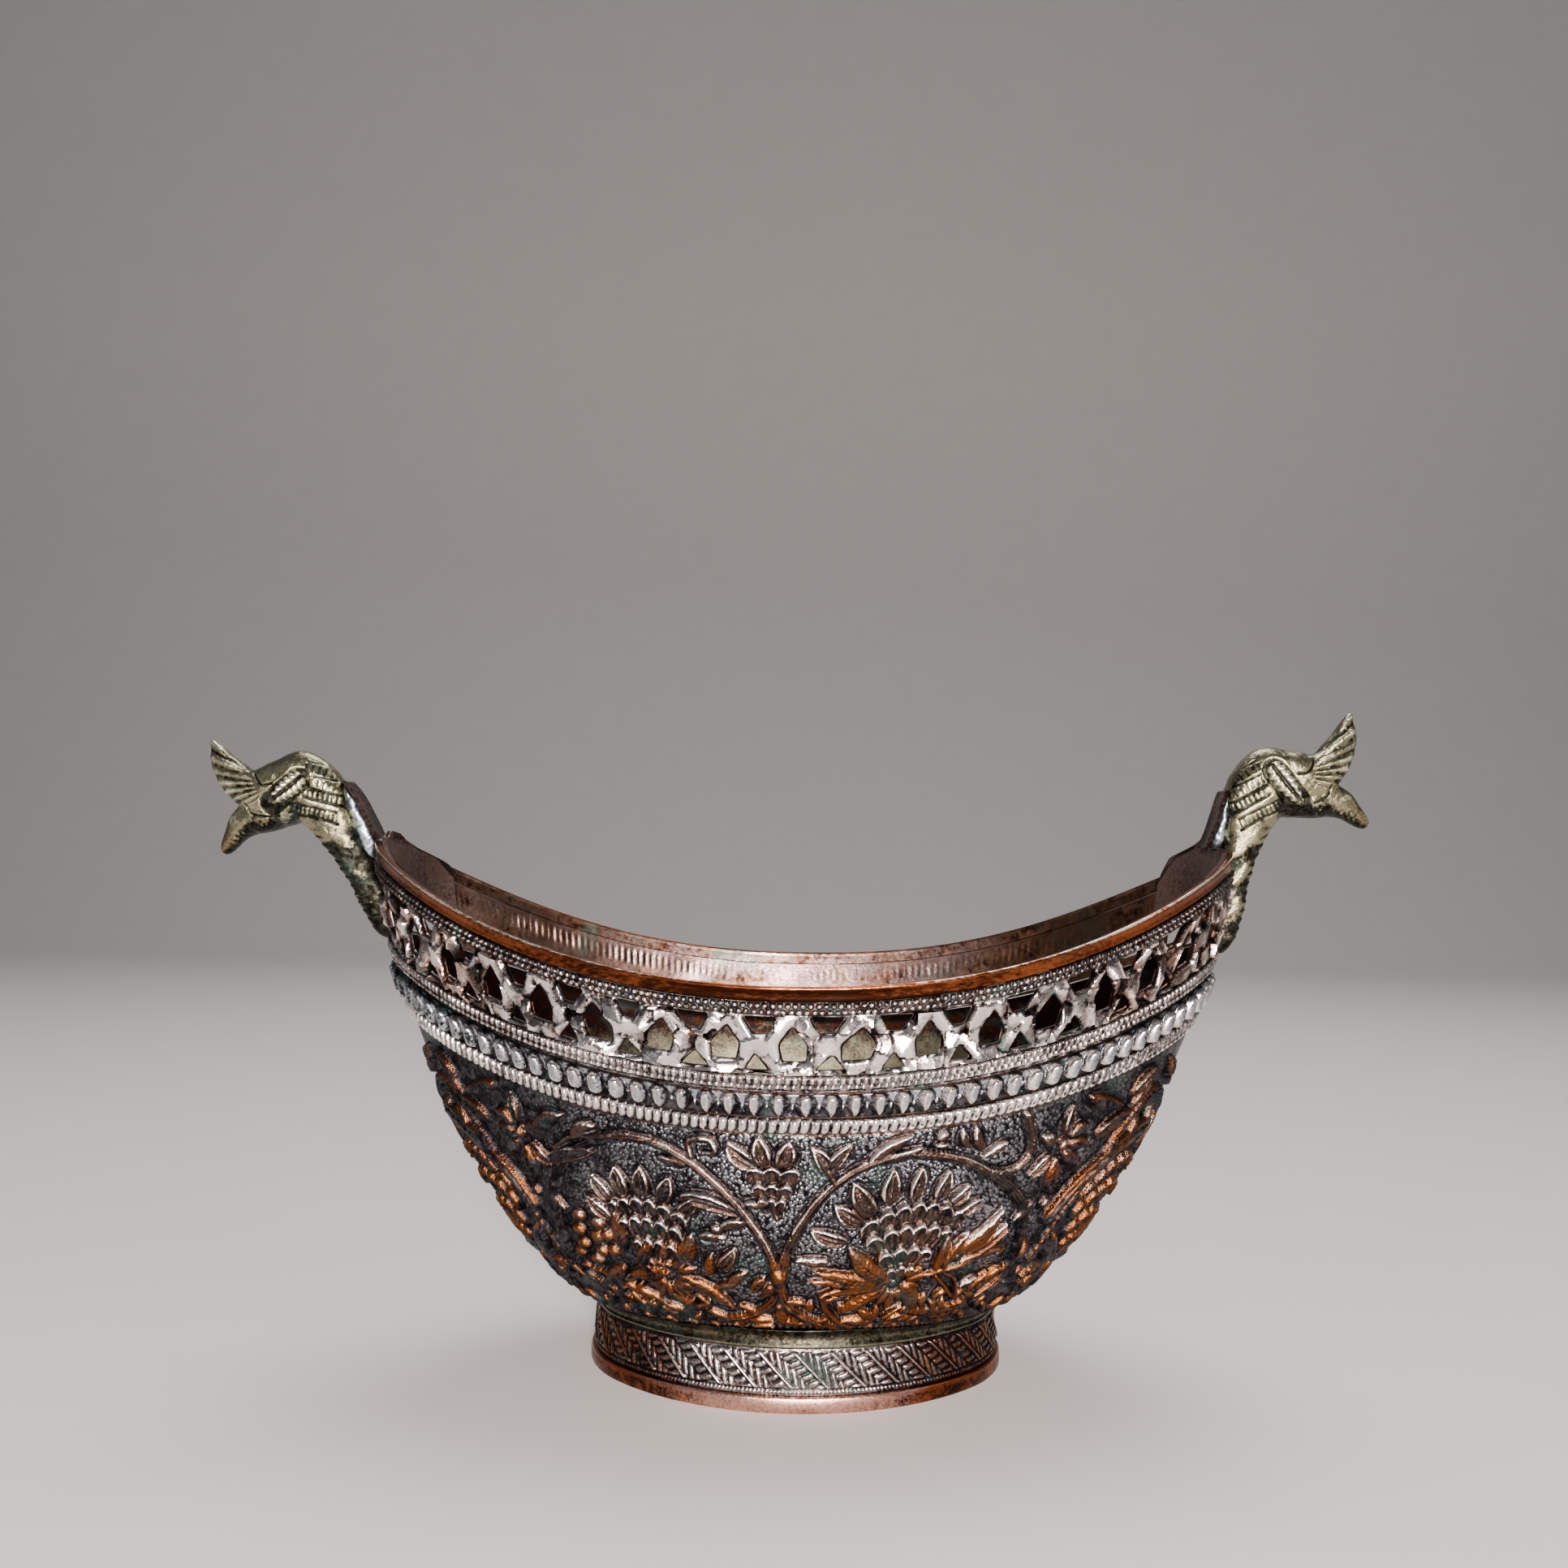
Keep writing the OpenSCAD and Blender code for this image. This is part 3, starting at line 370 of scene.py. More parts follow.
UPRIGHT_ROUNDEL = [
    stem([(-24.6, 17), (-25.2, 23), (-24.5, 29.5), (-22.5, 35.5), (-19, 40.5), (-14, 44), (-7, 45.8), (0, 45),
          (7, 42.6), (13, 39.2), (19, 35.2), (24, 30.5), (27.3, 25), (28.5, 18), (27.5, 12.5), (23.5, 9),
          (17, 6.8), (10, 6.4), (4, 7.5)], 1.15),
    stem([(-24.6, 17), (-23.2, 12), (-20, 8), (-15, 4.8), (-8, 2.2)], 1.1, 0.8),
    stem([(-16, 12.5), (-13.5, 8), (-9.5, 4.5), (-6, 3)], 0.8, 0.9),
    stem([(13, 39.2), (17, 38.2), (20.5, 38.4), (22.8, 40.8), (22.8, 44), (21.3, 47.5), (20.3, 50)],
         0.95, 0.1),
    stem([(-19.5, 40), (-21.3, 42.8)], 0.7, 0.1),
    stem([(3, 16.5), (10, 17.3), (16, 19), (23, 24)], 0.55, 0.7, 0.9),
    stem([(8, 16), (11, 13.5), (14.5, 10.3)], 0.6, 0.8, 1.0),
    stem([(9.5, 16.8), (13.3, 14.6), (15.8, 10.6)], 0.5, 0.6, 0.9),
    lotus(-1.2, [(19.6, 0.9, 3.6), (24.3, 2.0, 6.6), (29.6, 3.3, 10.4), (34.7, 4.6, 11.8)]),
    leaf((-2.5, 15.5), (-13.8, 24.8), 2.3, 1.0),
    leaf((-3.5, 15.2), (-19.8, 19.2), 1.6, 0.4),
    leaf((-4, 14.8), (-20, 16.4), 1.4),
    leaf((-4, 14.5), (-17, 12.6), 1.7, -0.4),
    leaf((-3, 13.8), (-11.2, 7.2), 2.5, -0.5),
    leaf((0.6, 14.6), (6.4, 6.9), 2.2, 0.6),
    leaf((7.2, 17.5), (7.2, 26.3), 1.6, -0.5),
    leaf((9, 17.5), (12.6, 26), 1.5, 0.5),
    leaf((10.2, 21.5), (20, 30), 2.4, -2.2),
    leaf((13.5, 20.5), (22.5, 26), 1.5, -0.6, 0.7),
    leaf((13, 18.6), (25, 19.8), 1.2, 0.3, 0.6, 0.9),
    leaf((-14.5, 26), (-22.3, 29.2), 1.9, 0.5, 0.2),
    leaf((-17, 21.3), (-23.6, 22), 1.3, 0.3, 0.0),
    leaf((22, 12), (26, 15.6), 1.5, 0.2, 0.6),
    leaf((18.6, 10.6), (22.6, 14.8), 1.3, 0.2, 0.6),
    leaf((15.6, 12), (20, 14.2), 1.1, 0.0, 0.2),
    leaf((-2, 5), (-7.2, 8.6), 1.1), leaf((-1.5, 5), (-3.2, 9.5), 1.0), leaf((0, 5), (3, 9.2), 1.0),
    leaf((1, 4.8), (6, 6.6), 1.1), leaf((-3, 4.6), (-9, 5), 1.1),
    leaf((-21.4, 42.2), (-25.2, 48), 1.7, -0.6, 0.0), leaf((-21.4, 42.2), (-17.4, 48.8), 1.7, 0.6, 0.0),
    leaf((-13.8, 44.2), (-5, 49.9), 1.4, 0.7, 0.1), leaf((-12, 44.5), (-2.8, 47.2), 1.3, -0.3, 0.3),
    leaf((7.3, 45.6), (5.2, 50), 1.2, 0.3, 0.0), leaf((11, 44.3), (8.2, 50), 1.5, 0.4, 0.1),
    leaf((16.6, 45), (10.6, 42.8), 1.3, 0.2, 0.6),
    berry(1.2, 48.8, 1.5, 1.3, 0.1), berry(1.3, 46.9, 1.8, 0.8, 0.4),
    leaf((-12.5, 30.5), (-18.6, 34.8), 2.1, 0.3, 0.4), leaf((-10.5, 32.3), (-16, 40), 2.4, 0.3, 0.4),
    leaf((-7.6, 34.6), (-8.2, 42.8), 2.3, 0.2, 0.4), leaf((-2.7, 35.2), (-2, 42.6), 2.0, 0.0, 0.35),
    leaf((2.4, 34.8), (4.2, 41), 2.0, -0.2, 0.35), leaf((6, 33), (9.8, 37), 2.0, -0.2, 0.35),
    leaf((8.6, 30.3), (13.2, 33.2), 1.7, 0.0, 0.4),
    *sprigs([(28.5, 18), (27.5, 12.5), (23.5, 9), (17, 6.8), (10, 6.4), (4, 7.5)]),
    *sprigs([(-24.6, 17), (-23.2, 12), (-20, 8), (-15, 4.8), (-8, 2.2)]),
    *sprigs([(-14, 3.2), (-4, 2.4), (8, 2.8), (19, 3.8), (28, 6)], 2.9, 3.8, 1.05, 0.9),
    *sprigs([(6, 12), (12, 9.5), (20, 9.4), (25, 11)], 3.0, 3.6, 1.1, 0.7),
    *sprigs([(-19, 11), (-14, 9.6), (-8, 10.4)], 3.0, 3.4, 1.1, 0.9),
    *burst(-1.0, 15.2, 2.2, 7.6, 150, 395, 11, 1.15),
]

TILTED_ROUNDEL = [
    stem([(20.3, 17), (20.3, 23), (19, 28.5), (16.5, 34), (13, 38.8), (8.5, 43), (3, 46), (-3, 47), (-9, 46),
          (-15, 43.3), (-21, 39.5), (-26, 33.8), (-29.5, 27), (-31, 20), (-30.5, 14.8), (-27.5, 11.2),
          (-21, 8.2), (-14, 6), (-8, 5.2)], 1.15),
    stem([(20.3, 17), (19.2, 12.5), (16, 8.8), (11, 6), (5, 4.6)], 1.1, 0.7),
    stem([(-9, 46), (-14, 45.2), (-19, 43.8), (-24, 40.5)], 0.7, 0.8),
    stem([(-3.5, 16), (-10, 14.6), (-16, 12.4), (-25, 13.5)], 0.6, 0.9, 1.0),
    lotus(-4.2, [(19.3, 0.8, 3.2), (24.3, 1.6, 5.8), (29.4, 2.4, 8.0), (33.7, 3.2, 9.8)], 0.45),
    leaf((-29.8, 41), (-20.4, 48), 2.0, 1.0), leaf((-19, 43.5), (-12.3, 47.6), 1.7, 0.8, 0.9),
    leaf((-27, 37), (-13.5, 41.8), 1.9, 0.4, 0.0),
    leaf((1, 14.7), (9, 8), 2.2, 0.7), leaf((-4, 16.4), (-14, 14.2), 1.7, 0.4),
    leaf((-14.5, 15.6), (-24, 10.3), 2.0, 0.5), leaf((-13.2, 19.3), (-12, 29.3), 2.1, -0.3),
    leaf((-9.2, 17.4), (-4.8, 23.4), 2.1, 0.2), leaf((-3.2, 19.2), (-1.6, 23.6), 1.3),
    leaf((0.4, 19.2), (5.4, 26.8), 2.3, -0.5), leaf((6.4, 16.6), (8.6, 22.4), 1.4, 0.2, 0.8),
    leaf((9, 18.6), (13.8, 24), 1.6, -0.3, 0.6), leaf((10, 14.6), (15, 18.4), 1.3, 0.2, 0.7),
    leaf((14.6, 12.8), (18.2, 17), 1.4, 0.3), leaf((7, 13), (12, 15), 1.2, 0.3, 0.8),
    leaf((-12.3, 9.3), (-17, 12.2), 1.2, 0.2, 0.2), leaf((-9.6, 8.8), (-13.8, 11.5), 1.1, 0.2, 0.2),
    leaf((-2.6, 7.3), (0.6, 10), 1.0, 0.0, 0.2), leaf((0, 7.3), (3.8, 9.2), 1.0, 0.0, 0.2),
    leaf((2, 6.6), (6, 5.4), 1.1), leaf((-4, 6), (-9, 7.6), 1.1), leaf((-9, 6.2), (-14, 7.7), 1.1),
    leaf((4.4, 35.2), (17.2, 32), 2.2, 1.0, 0.1), leaf((11.8, 28.8), (18.6, 31), 1.5, 0.2, 0.3),
    berry(11, 28.4, 1.4, 1.3, 0.2), leaf((1, 43.6), (8, 43), 1.3, -0.2, 0.1),
    leaf((-12, 31.3), (-16, 36.4), 2.0, 0.2, 0.7), leaf((-8.5, 33.2), (-9.4, 39.6), 2.2, 0.1, 0.7),
    leaf((-4, 33.9), (-3.3, 40.6), 2.2, 0.0, 0.6), leaf((0, 33.2), (3, 39.4), 2.1, -0.1, 0.4),
    leaf((3.8, 31.3), (8.4, 35.4), 1.9, -0.2, 0.3), leaf((-13.3, 27), (-18.8, 31.2), 1.8, 0.2, 0.6),
    leaf((6.6, 26), (12.6, 26.6), 1.4, 0.3, 0.3),
    *sprigs([(-31, 20), (-30.5, 14.8), (-27.5, 11.2), (-21, 8.2), (-14, 6), (-8, 5.2)]),
    *sprigs([(20.3, 17), (19.2, 12.5), (16, 8.8), (11, 6), (5, 4.6)]),
    *sprigs([(-30, 6.4), (-20, 4), (-8, 2.6), (4, 2.4), (14, 3.2)], 2.9, 3.8, 1.05, 0.9),
    *sprigs([(-24, 9.6), (-14, 9.2), (-6, 10.8), (2, 11.4)], 3.0, 3.6, 1.1, 0.8),
    *burst(-4.0, 15.6, 2.2, 8.2, 165, 400, 11, 1.2),
] + [
    berry(x, y, 1.95, 1.45)
    for x, y in [(-23, 25.6), (-17.8, 25), (-24.2, 22.2), (-19.2, 21.7), (-24.6, 18.9), (-19.4, 18.3),
                 (-22.2, 15.8), (-15.8, 19.2), (-16, 22.6), (-26.8, 16.6)]
]

MIDDLE_BUD = [
    berry(-2.3, 17.3, 1.7, 2.3, 1.0, 1.7),
    lotus(-3.6, [(36.6, 0.2, 3.0), (39.8, 0.3, 4.0), (43.7, 0.6, 5.6)], 0.1),
    leaf((-6.6, 43.4), (-12.6, 48.6), 2.3, 0.6, 0.0), leaf((-4.6, 43.8), (-6.4, 50.4), 2.0, 0.3, 0.0),
    leaf((-2, 43.6), (-0.6, 49.4), 2.1, -0.3, 0.1),
    leaf((-4, 35.2), (-9.2, 35.4), 1.1, 0.2, 0.1),
    stem([(-3.4, 36.4), (-3.2, 34), (-2.6, 31.8)], 0.6, 0.2, 0.8),
    stem([(-19.8, 45.2), (-20.2, 48.4), (-16.2, 49), (-14.8, 46.6), (-17, 46)], 0.75, 0.2),
    berry(-2, 9.3, 1.1, 1.1, 0.0, 1.4), leaf((-2, 8.4), (-1.6, 3.2), 1.5),
    leaf((-3, 4.4), (-9.6, 5.6), 1.2), leaf((-1.4, 4.2), (4.4, 3.8), 1.2), leaf((-3.4, 3), (-7.6, 2.4), 0.9),
]

SIDE_ROSETTE = [
    berry(6.5, 18.2, 1.7, 2.3, 1.0, 1.6), berry(3.7, 40.8, 1.4, 1.4, 0.9, 1.5),
    leaf((5.4, 42), (10, 43.4), 1.9, 0.2, 0.8), leaf((6, 40.4), (12.4, 38.6), 1.7, 0.2),
    leaf((5.4, 38.7), (11.8, 33.6), 1.7, 0.3), leaf((3.4, 38.2), (5.6, 30.4), 2.0, -0.3),
    leaf((1.8, 39.2), (-3, 35.6), 1.7, 0.0, 0.7), leaf((2, 41.8), (-2.8, 44), 1.5, 0.2, 0.2),
    leaf((3.8, 42.8), (3.4, 48.8), 1.7, 0.2, 0.1), leaf((8, 49), (21, 44), 1.6, -0.4, 0.9),
    berry(6.2, 28.4, 1.4, 1.2, 0.1), leaf((2, 29.6), (-2, 26.4), 1.3, 0.2, 0.3),
    stem([(9.6, 25.4), (12.6, 29.4), (17, 31.9), (23, 34.2), (30, 35.8), (36, 36)], 2.4, 0.8, 1.7),
    stem([(6.5, 18.2), (9, 13), (14, 9.6), (22, 7.4), (30, 7)], 1.1, 0.8),
    leaf((14, 40), (26, 41.6), 1.7, 0.6, 0.4), leaf((23, 45), (31, 48.6), 1.6, 0.4, 0.3),
]

END_LOTUS = [
    lotus(0, [(17.4, 0.9, 4.0), (22, 2.0, 7.2), (27, 3.0, 10.4), (31.6, 3.8, 12.0)], 0.75),
    leaf((-2.5, 13.5), (-12, 20), 2.0, 0.8), leaf((2.5, 13.5), (12, 20), 2.0, -0.8),
    leaf((-3, 12.5), (-12, 11.5), 1.6), leaf((3, 12.5), (12, 11.5), 1.6), leaf((0, 12), (0, 5.4), 2.0),
    leaf((-8, 31), (-10.5, 38), 2.1, 0.2, 0.6), leaf((-3, 32.2), (-3.6, 40), 2.1, 0.0, 0.6),
    leaf((3, 32.2), (3.6, 40), 2.1, 0.0, 0.6), leaf((8, 31), (10.5, 38), 2.1, -0.2, 0.6),
    leaf((-9, 42), (-3, 48), 1.7, 0.4, 0.4), leaf((9, 42), (3, 48), 1.7, -0.4, 0.4),
    stem([(-15, 16), (-14.6, 26), (-11, 36), (-6, 41), (0, 43), (6, 41), (11, 36), (14.6, 26), (15, 16)],
         1.1, 0.6),
    *burst(0, 13, 2, 8.4, 170, 370, 9, 1.2),
    *sprigs([(-15, 16), (-11, 9), (-4, 4.6), (4, 4.6), (11, 9), (15, 16)]),
]

# Where each motif sits along one side: share of the side, stretch sideways, shift
FIELD = [
    (UPRIGHT_ROUNDEL, 0.625, 1.0, 0.0), (TILTED_ROUNDEL, 0.375, 1.0, 0.0), (MIDDLE_BUD, 0.5, 1.0, 0.0),
    (SIDE_ROSETTE, 0.75, 1.0, 0.0), (SIDE_ROSETTE, 0.25, -1.0, -2.4),
    (END_LOTUS, 0.9, 1.0, 0.0), (END_LOTUS, 0.1, -1.0, 0.0),
]


def leaf_height(x, y, base, tip, half, bend, rise, hollow):
    """Pointed leaf with veins: ridged, or hollowed inside a raised edge."""
    ax, ay = tip[0] - base[0], tip[1] - base[1]
    length = math.hypot(ax, ay)
    a = ((x - base[0]) * ax + (y - base[1]) * ay) / length**2
    b = ((y - base[1]) * ax - (x - base[0]) * ay) / length
    k = np.clip(a, 0, 1)
    b = b - bend * 4 * k * (1 - k)
    wide = half * k**0.55 * (1 - k) ** 0.8 / 0.4
    edge = 1 - np.abs(b) / np.maximum(wide, 1e-4)
    ridge = 1.0 - 0.45 * ease(edge, 0.25, 0.8) if hollow else 0.5 + 0.5 * np.clip(edge, 0, 1)
    fold = ridge + 0.14 * np.sign(b) * np.clip(1 - edge, 0, 1)
    body = np.clip(edge * 3.0, 0, 1) ** 0.6 * fold
    vein = 0.2 * bell(b, 0.2) * ease(k, 0.02, 0.15) * ease(1 - k, 0.06, 0.3)
    side_vein = 0.04 * np.cos(2 * np.pi * (k * length - 1.1 * np.abs(b)) / 1.35) * ease(edge, 0.1, 0.5)
    cut = -1.4 if hollow else 1.0
    high = rise * (body - cut * vein * np.clip(edge * 3, 0, 1) - side_vein * (half > 1.25))
    return np.where((a > 0) & (a < 1) & (edge > 0), high * (0.8 + 0.35 * np.sin(np.pi * k)), 0)


def line_distance(x, y, line):
    """Distance of each spot from a line of points."""
    near = np.full(x.shape, 1e9)
    for (ax, ay), (bx, by) in zip(line[:-1], line[1:]):
        dx, dy = bx - ax, by - ay
        k = np.clip(((x - ax) * dx + (y - ay) * dy) / (dx * dx + dy * dy + 1e-12), 0, 1)
        near = np.minimum(near, np.hypot(x - ax - k * dx, y - ay - k * dy))
    return near


def stem_height(x, y, points, half, rise):
    """Rounded vine, with a groove along each side where it is wide."""
    e = line_distance(x, y, through(points)) / half
    groove = 0.42 * bell(e - 0.42, 0.15) if half > 0.7 else 0.0
    return np.where(e < 1, rise * (round_top(e**4) - groove), 0)


def lotus_height(x, y, middle, tiers):
    """Scalloped tiers of hollow cells with bright ribs between them."""
    high = np.zeros(x.shape)
    low_top, low_drop, low_half = tiers[0][0] - 3.6, 0.2, tiers[0][2] * 0.55
    for top, drop, half in tiers:
        cells = max(3, round(half * 2 / 3.3))
        xx = x - middle
        roof = top - drop * (xx / half) ** 2
        floor = low_top - low_drop * (xx / max(low_half, 1)) ** 2
        v = (y - floor) / np.maximum(roof - floor, 0.2)
        spread = low_half + (half - low_half) * np.clip(v, 0, 1)
        c = (xx / spread + 1) / 2 * cells
        f = np.modf(np.abs(c))[0] - 0.5
        scallop = 1 - 0.34 * (2 * np.abs(f)) ** 2.4
        inside = (np.abs(xx) < spread) & (v > 0) & (v < scallop + 0.12)
        lip = bell(v - scallop + 0.05, 0.085)
        rib = bell(np.abs(f) - 0.5, 0.1) * np.clip(v * 3, 0, 1)
        mid_rib = 0.35 * bell(f, 0.09) * np.clip(1 - v, 0, 1)
        cup = 0.12 + 0.3 * v
        body = cup + 1.0 * np.maximum(np.maximum(lip, 0.45 * rib), mid_rib)
        high = np.where(inside, np.maximum(high, body), high)
        low_top, low_drop, low_half = top, drop, half
    return high


def field_relief(u, s):
    """Height of the chased work above the wall, how far its tin is worn and where vines run, for one side."""
    up, length = s_to_up(s), level_length(s)
    high, worn, vine = np.zeros(u.shape), np.zeros(u.shape), np.zeros(u.shape)
    for motifs, middle, stretch, shift in FIELD:
        x = ((u - middle) * length - shift) / stretch
        near = np.abs(x) < MOTIF_REACH
        if not near.any():
            continue
        px, py = x[near], up[near]
        for kind, *facts in motifs:
            if kind == "leaf":
                base, tip, half, bend, bare, rise = facts
                # Large leaves that keep their tin are hollowed, the bare copper ones are ridged
                hollow = half >= HOLLOW_HALF and bare < HOLLOW_WORN
                add_h = leaf_height(px, py, base, tip, half, bend, rise, hollow)
            elif kind == "stem":
                points, half, bare, rise = facts
                add_h = stem_height(px, py, points, half, rise)
            elif kind == "berry":
                bx, by, across, tall, bare, rise = facts
                r2 = ((px - bx) / across) ** 2 + ((py - by) / tall) ** 2
                add_h = rise * round_top(r2)
            else:
                middle_x, tiers, bare = facts
                add_h = lotus_height(px, py, middle_x, tiers)
            over = add_h > high[near]
            for sheet, value in ((high, add_h), (worn, bare), (vine, float(kind == "stem"))):
                sheet[near] = np.where(over, value, sheet[near])
    return high, worn, vine


def chased_face(u, s, along, field_up):
    """Outer face of the wall: its height, how far it is rubbed and worn with painted light and shade, and
    where its ground is open.
    """
    high, worn, vine = field_relief(along, s)
    up = s_to_up(s)
    across = (along - 0.5) * level_length(s)
    mask = (high > 0.06).astype(float)
    edge = np.clip(blur(mask, 2) * 2, 0, 1) * (1 - mask)
    on_field = ease(up, 0.5, 3.0) * ease(field_up - up, 0.0, 1.2)
    keel = ease(np.minimum(u, 1 - u) * level_length(s), 3.2, 6.0)
    ground = (0.06 * wander(across, up, 5) - 0.3 * edge) * (1 - mask)
    tooled = 0.16 * wander(across * 1.3, up * 1.3, 1.7) * mask
    beads = 0.5 * round_top(((np.modf(across / 1.4 + 200)[0] - 0.5) / 0.45) ** 2)
    base_row = beads * np.clip(1 - ((up - 1.2) / 0.6) ** 2, 0, 1)
    high = ((1.3 * high + tooled) * keel + ground) * on_field + base_row
    # Painted light: faces that look down, and faces that look toward the ends, are painted darker, and faces
    # that look up are painted lighter
    shade_slope = np.clip(np.gradient(high, axis=0) / np.gradient(up, axis=0), -1.5, 1.5)
    shade_slope = shade_slope + 0.5 * np.clip(np.gradient(high, axis=1) / 0.33, -1.5, 1.5) * np.sign(0.5 - u)
    rub_and_shade = 0.44 + 0.62 * (high - blur(high, 2)) + 0.07 * (high - blur(high, 8))
    rub_and_shade = np.clip(rub_and_shade - 0.3 * blur(shade_slope, 1), 0, 1)
    # Painted shade: toward both ends, and a little left of the middle, the relief is painted darker. It is
    # also a little darker toward the bottom, and the ends and the low wall show more bare copper
    low_wear = ease(30 - up, 0, 16)
    end_wear_and_shade = ease(np.abs(along - 0.5), 0.19, 0.31)
    rub_and_shade = rub_and_shade - (0.12 + 0.14 * mask) * end_wear_and_shade - 0.06 * low_wear
    rub_and_shade = rub_and_shade - 0.1 * ease(0.46 - along, 0, 0.1) - 0.16 * vine
    worn = worn * (0.35 + 0.65 * low_wear) + (0.35 + 0.3 * (along < 0.5)) * low_wear * mask
    worn = np.clip(worn + 0.5 * end_wear_and_shade, 0, 1)
    open_ground = (1 - mask) * (1 - edge) * on_field
    return high, rub_and_shade, worn, open_ground


def hull_shell(side, right):
    """One quarter of the raised wall: chased outside, plain inside, closed all round."""
    top_up, field_up = s_to_up(S_LATTICE - SEAM / WALL_RISE), s_to_up(S_ROPE0)
    up_rows = [np.linspace(0, field_up, FIELD_ROWS), np.linspace(field_up, top_up, TOP_ROWS)[1:]]
    outer = up_to_s(np.concatenate(up_rows))
    inner = up_to_s(np.linspace(top_up, 0, INNER_ROWS))
    u_line = np.linspace(0.5, 1, HULL_COLS + 1) if right else np.linspace(0, 0.5, HULL_COLS + 1)
    u, s = np.meshgrid(u_line, outer)
    along = u if side < 0 else 1 - u
    high, rub_and_shade, worn, open_ground = chased_face(u, s, along, field_up)
    spots = on_wall(s, u, high, side)
    ui, si = np.meshgrid(u_line, inner)
    inside = on_wall(si, ui, np.full(ui.shape, -WALL_T) + 0.08 * wander(ui * 250, si * 90, 6), side)
    # Inside, the wall is left pale below and painted dark brown where it meets the gallery, as painted
    # shadow, and toward the ends, as painted dark reflection
    pale = 0.5 - 0.35 * ease(s_to_up(si), 50, 62) - 0.3 * ease(np.abs(ui - 0.5), 0.14, 0.3)
    notes = {
        "rub_and_shade": np.concatenate([rub_and_shade, pale]),
        "worn": np.concatenate([worn, 0 * pale]),
        "ground": np.concatenate([open_ground, 0 * pale]),
        "inner": np.concatenate([0 * u, 0 * pale + 1]),
    }
    return wrap_loop(np.concatenate([spots, inside]), notes)


def hull_pan():
    """Sagging bottom of the bowl between the seat's edges."""
    cols, n = 120, 18
    k = np.concatenate([np.linspace(0, 1, n), np.linspace(1, 0, n)])
    lift = np.concatenate([np.zeros(n), np.full(n, WALL_T)])
    t = np.linspace(0, 2 * np.pi, cols + 1)
    t[-1] = 0
    tt, kk = np.meshgrid(t, k)
    seat = SEAT_END + (SEAT_MID - SEAT_END) * np.sin(tt) ** 2
    z = seat * kk**2 + (SEAT_END - PAN_DROP) * (1 - kk**2) + lift[:, None]
    z = z + 0.1 * wander(kk * np.cos(tt) * 45, kk * np.sin(tt) * 34, 5) * (1 - kk)
    spots = np.stack([SEAT_A * kk * np.cos(tt), SEAT_B * kk * np.sin(tt), z], -1)
    shape = np.full(tt.shape, 0.5)
    return wrap_grid(cols, 2 * n - 1, spots, {"rub_and_shade": shape, "worn": shape, "inner": shape * 2})


# Borders

def border_strip(side, s0, s1, tall, cols, rows, start, relief, lit=0.0, dim=0.0):
    """Strip on the wall with a worked face: relief(mm along, 0 to 1 up, share along) gives its height.

    s0, s1 and tall are its levels and height, cols and rows its steps, start the share of the side left free
    at each end, lit how much brighter the left flanks are painted than the right ones, as painted light from
    the left, dim how far the low ground is painted darker, as painted shade.
    """
    u_line = np.linspace(start, 1 - start, cols + 1)
    u, v = np.meshgrid(u_line, np.linspace(0, 1, rows + 1))
    s = s0 + (s1 - s0) * v
    along = u * float(level_length((s0 + s1) / 2))
    high = relief(along, v, u)
    front = on_wall(s, u, high, side)
    ends, levels = np.meshgrid(u_line, (s1, s0))
    back = on_wall(levels, ends, np.full(ends.shape, -STRIP_BED), side)
    step = tall / rows
    k = max(1, round(0.5 / step))
    # Painted shade: the strip is darker toward its ends, which also show more copper
    rub_and_shade = 0.45 + 1.0 * (high - blur(high, k)) - 0.16 * ease(np.abs(u - 0.5), 0.14, 0.34)
    flank = np.clip(np.gradient(high, axis=1) / np.gradient(along, axis=1), -1.5, 1.5)
    rub_and_shade = np.clip(rub_and_shade + lit * flank - dim * ease(0.45 - high, 0, 0.25), 0, 1)
    flat = np.full(ends.shape, 0.3)
    worn = 0.08 + 0.3 * np.abs(2 * u - 1) ** 2
    notes = {"rub_and_shade": np.concatenate([rub_and_shade, flat]), "worn": np.concatenate([worn, flat])}
    return wrap_loop(np.concatenate([front, back]), notes)


def bead_relief(along, v, u):
    """Two offset rows of small punched beads."""
    high = 0.2 + 0.12 * np.sin(np.pi * v)
    for n, middle in enumerate((0.27, 0.74)):
        x = along / BEAD_PITCH + 0.5 * n
        i = np.floor(x)
        f = x - i - 0.5 + 0.16 * (scatter(i, n) - 0.5)
        size = 0.6 + 0.1 * (scatter(i, n + 5) - 0.5)
        r2 = (f * BEAD_PITCH / size) ** 2 + ((v - middle) * BEAD_TALL / size) ** 2
        high = np.maximum(high, 0.2 + 0.72 * round_top(r2))
    return high


def rib_relief(along, v, u):
    """Cut wire: a row of upright ribs over a row of small beads, with a plain edge below."""
    high = 0.25 + 0.4 * ease(v, 0.12, 0.24) * ease(0.99 - v, 0, 0.1)
    # Middle, half height, half width and rise of the ribs and of the beads
    for n, (middle, reach, half, rise) in enumerate(((0.73, 1.0, 0.66, 1.0), (0.36, 0.62, 0.58, 0.85))):
        x = along / RIB_PITCH + 0.25 * n
        i = np.floor(x)
        f = (x - i - 0.5 + 0.12 * (scatter(i, 2 + n) - 0.5)) * RIB_PITCH
        r2 = (f / half) ** 2 + np.abs((v - middle) * RIB_TALL / reach) ** 3
        bump = rise * round_top(r2) * (0.9 + 0.2 * scatter(i, 9))
        high = np.maximum(high, 0.25 + bump)
    return high


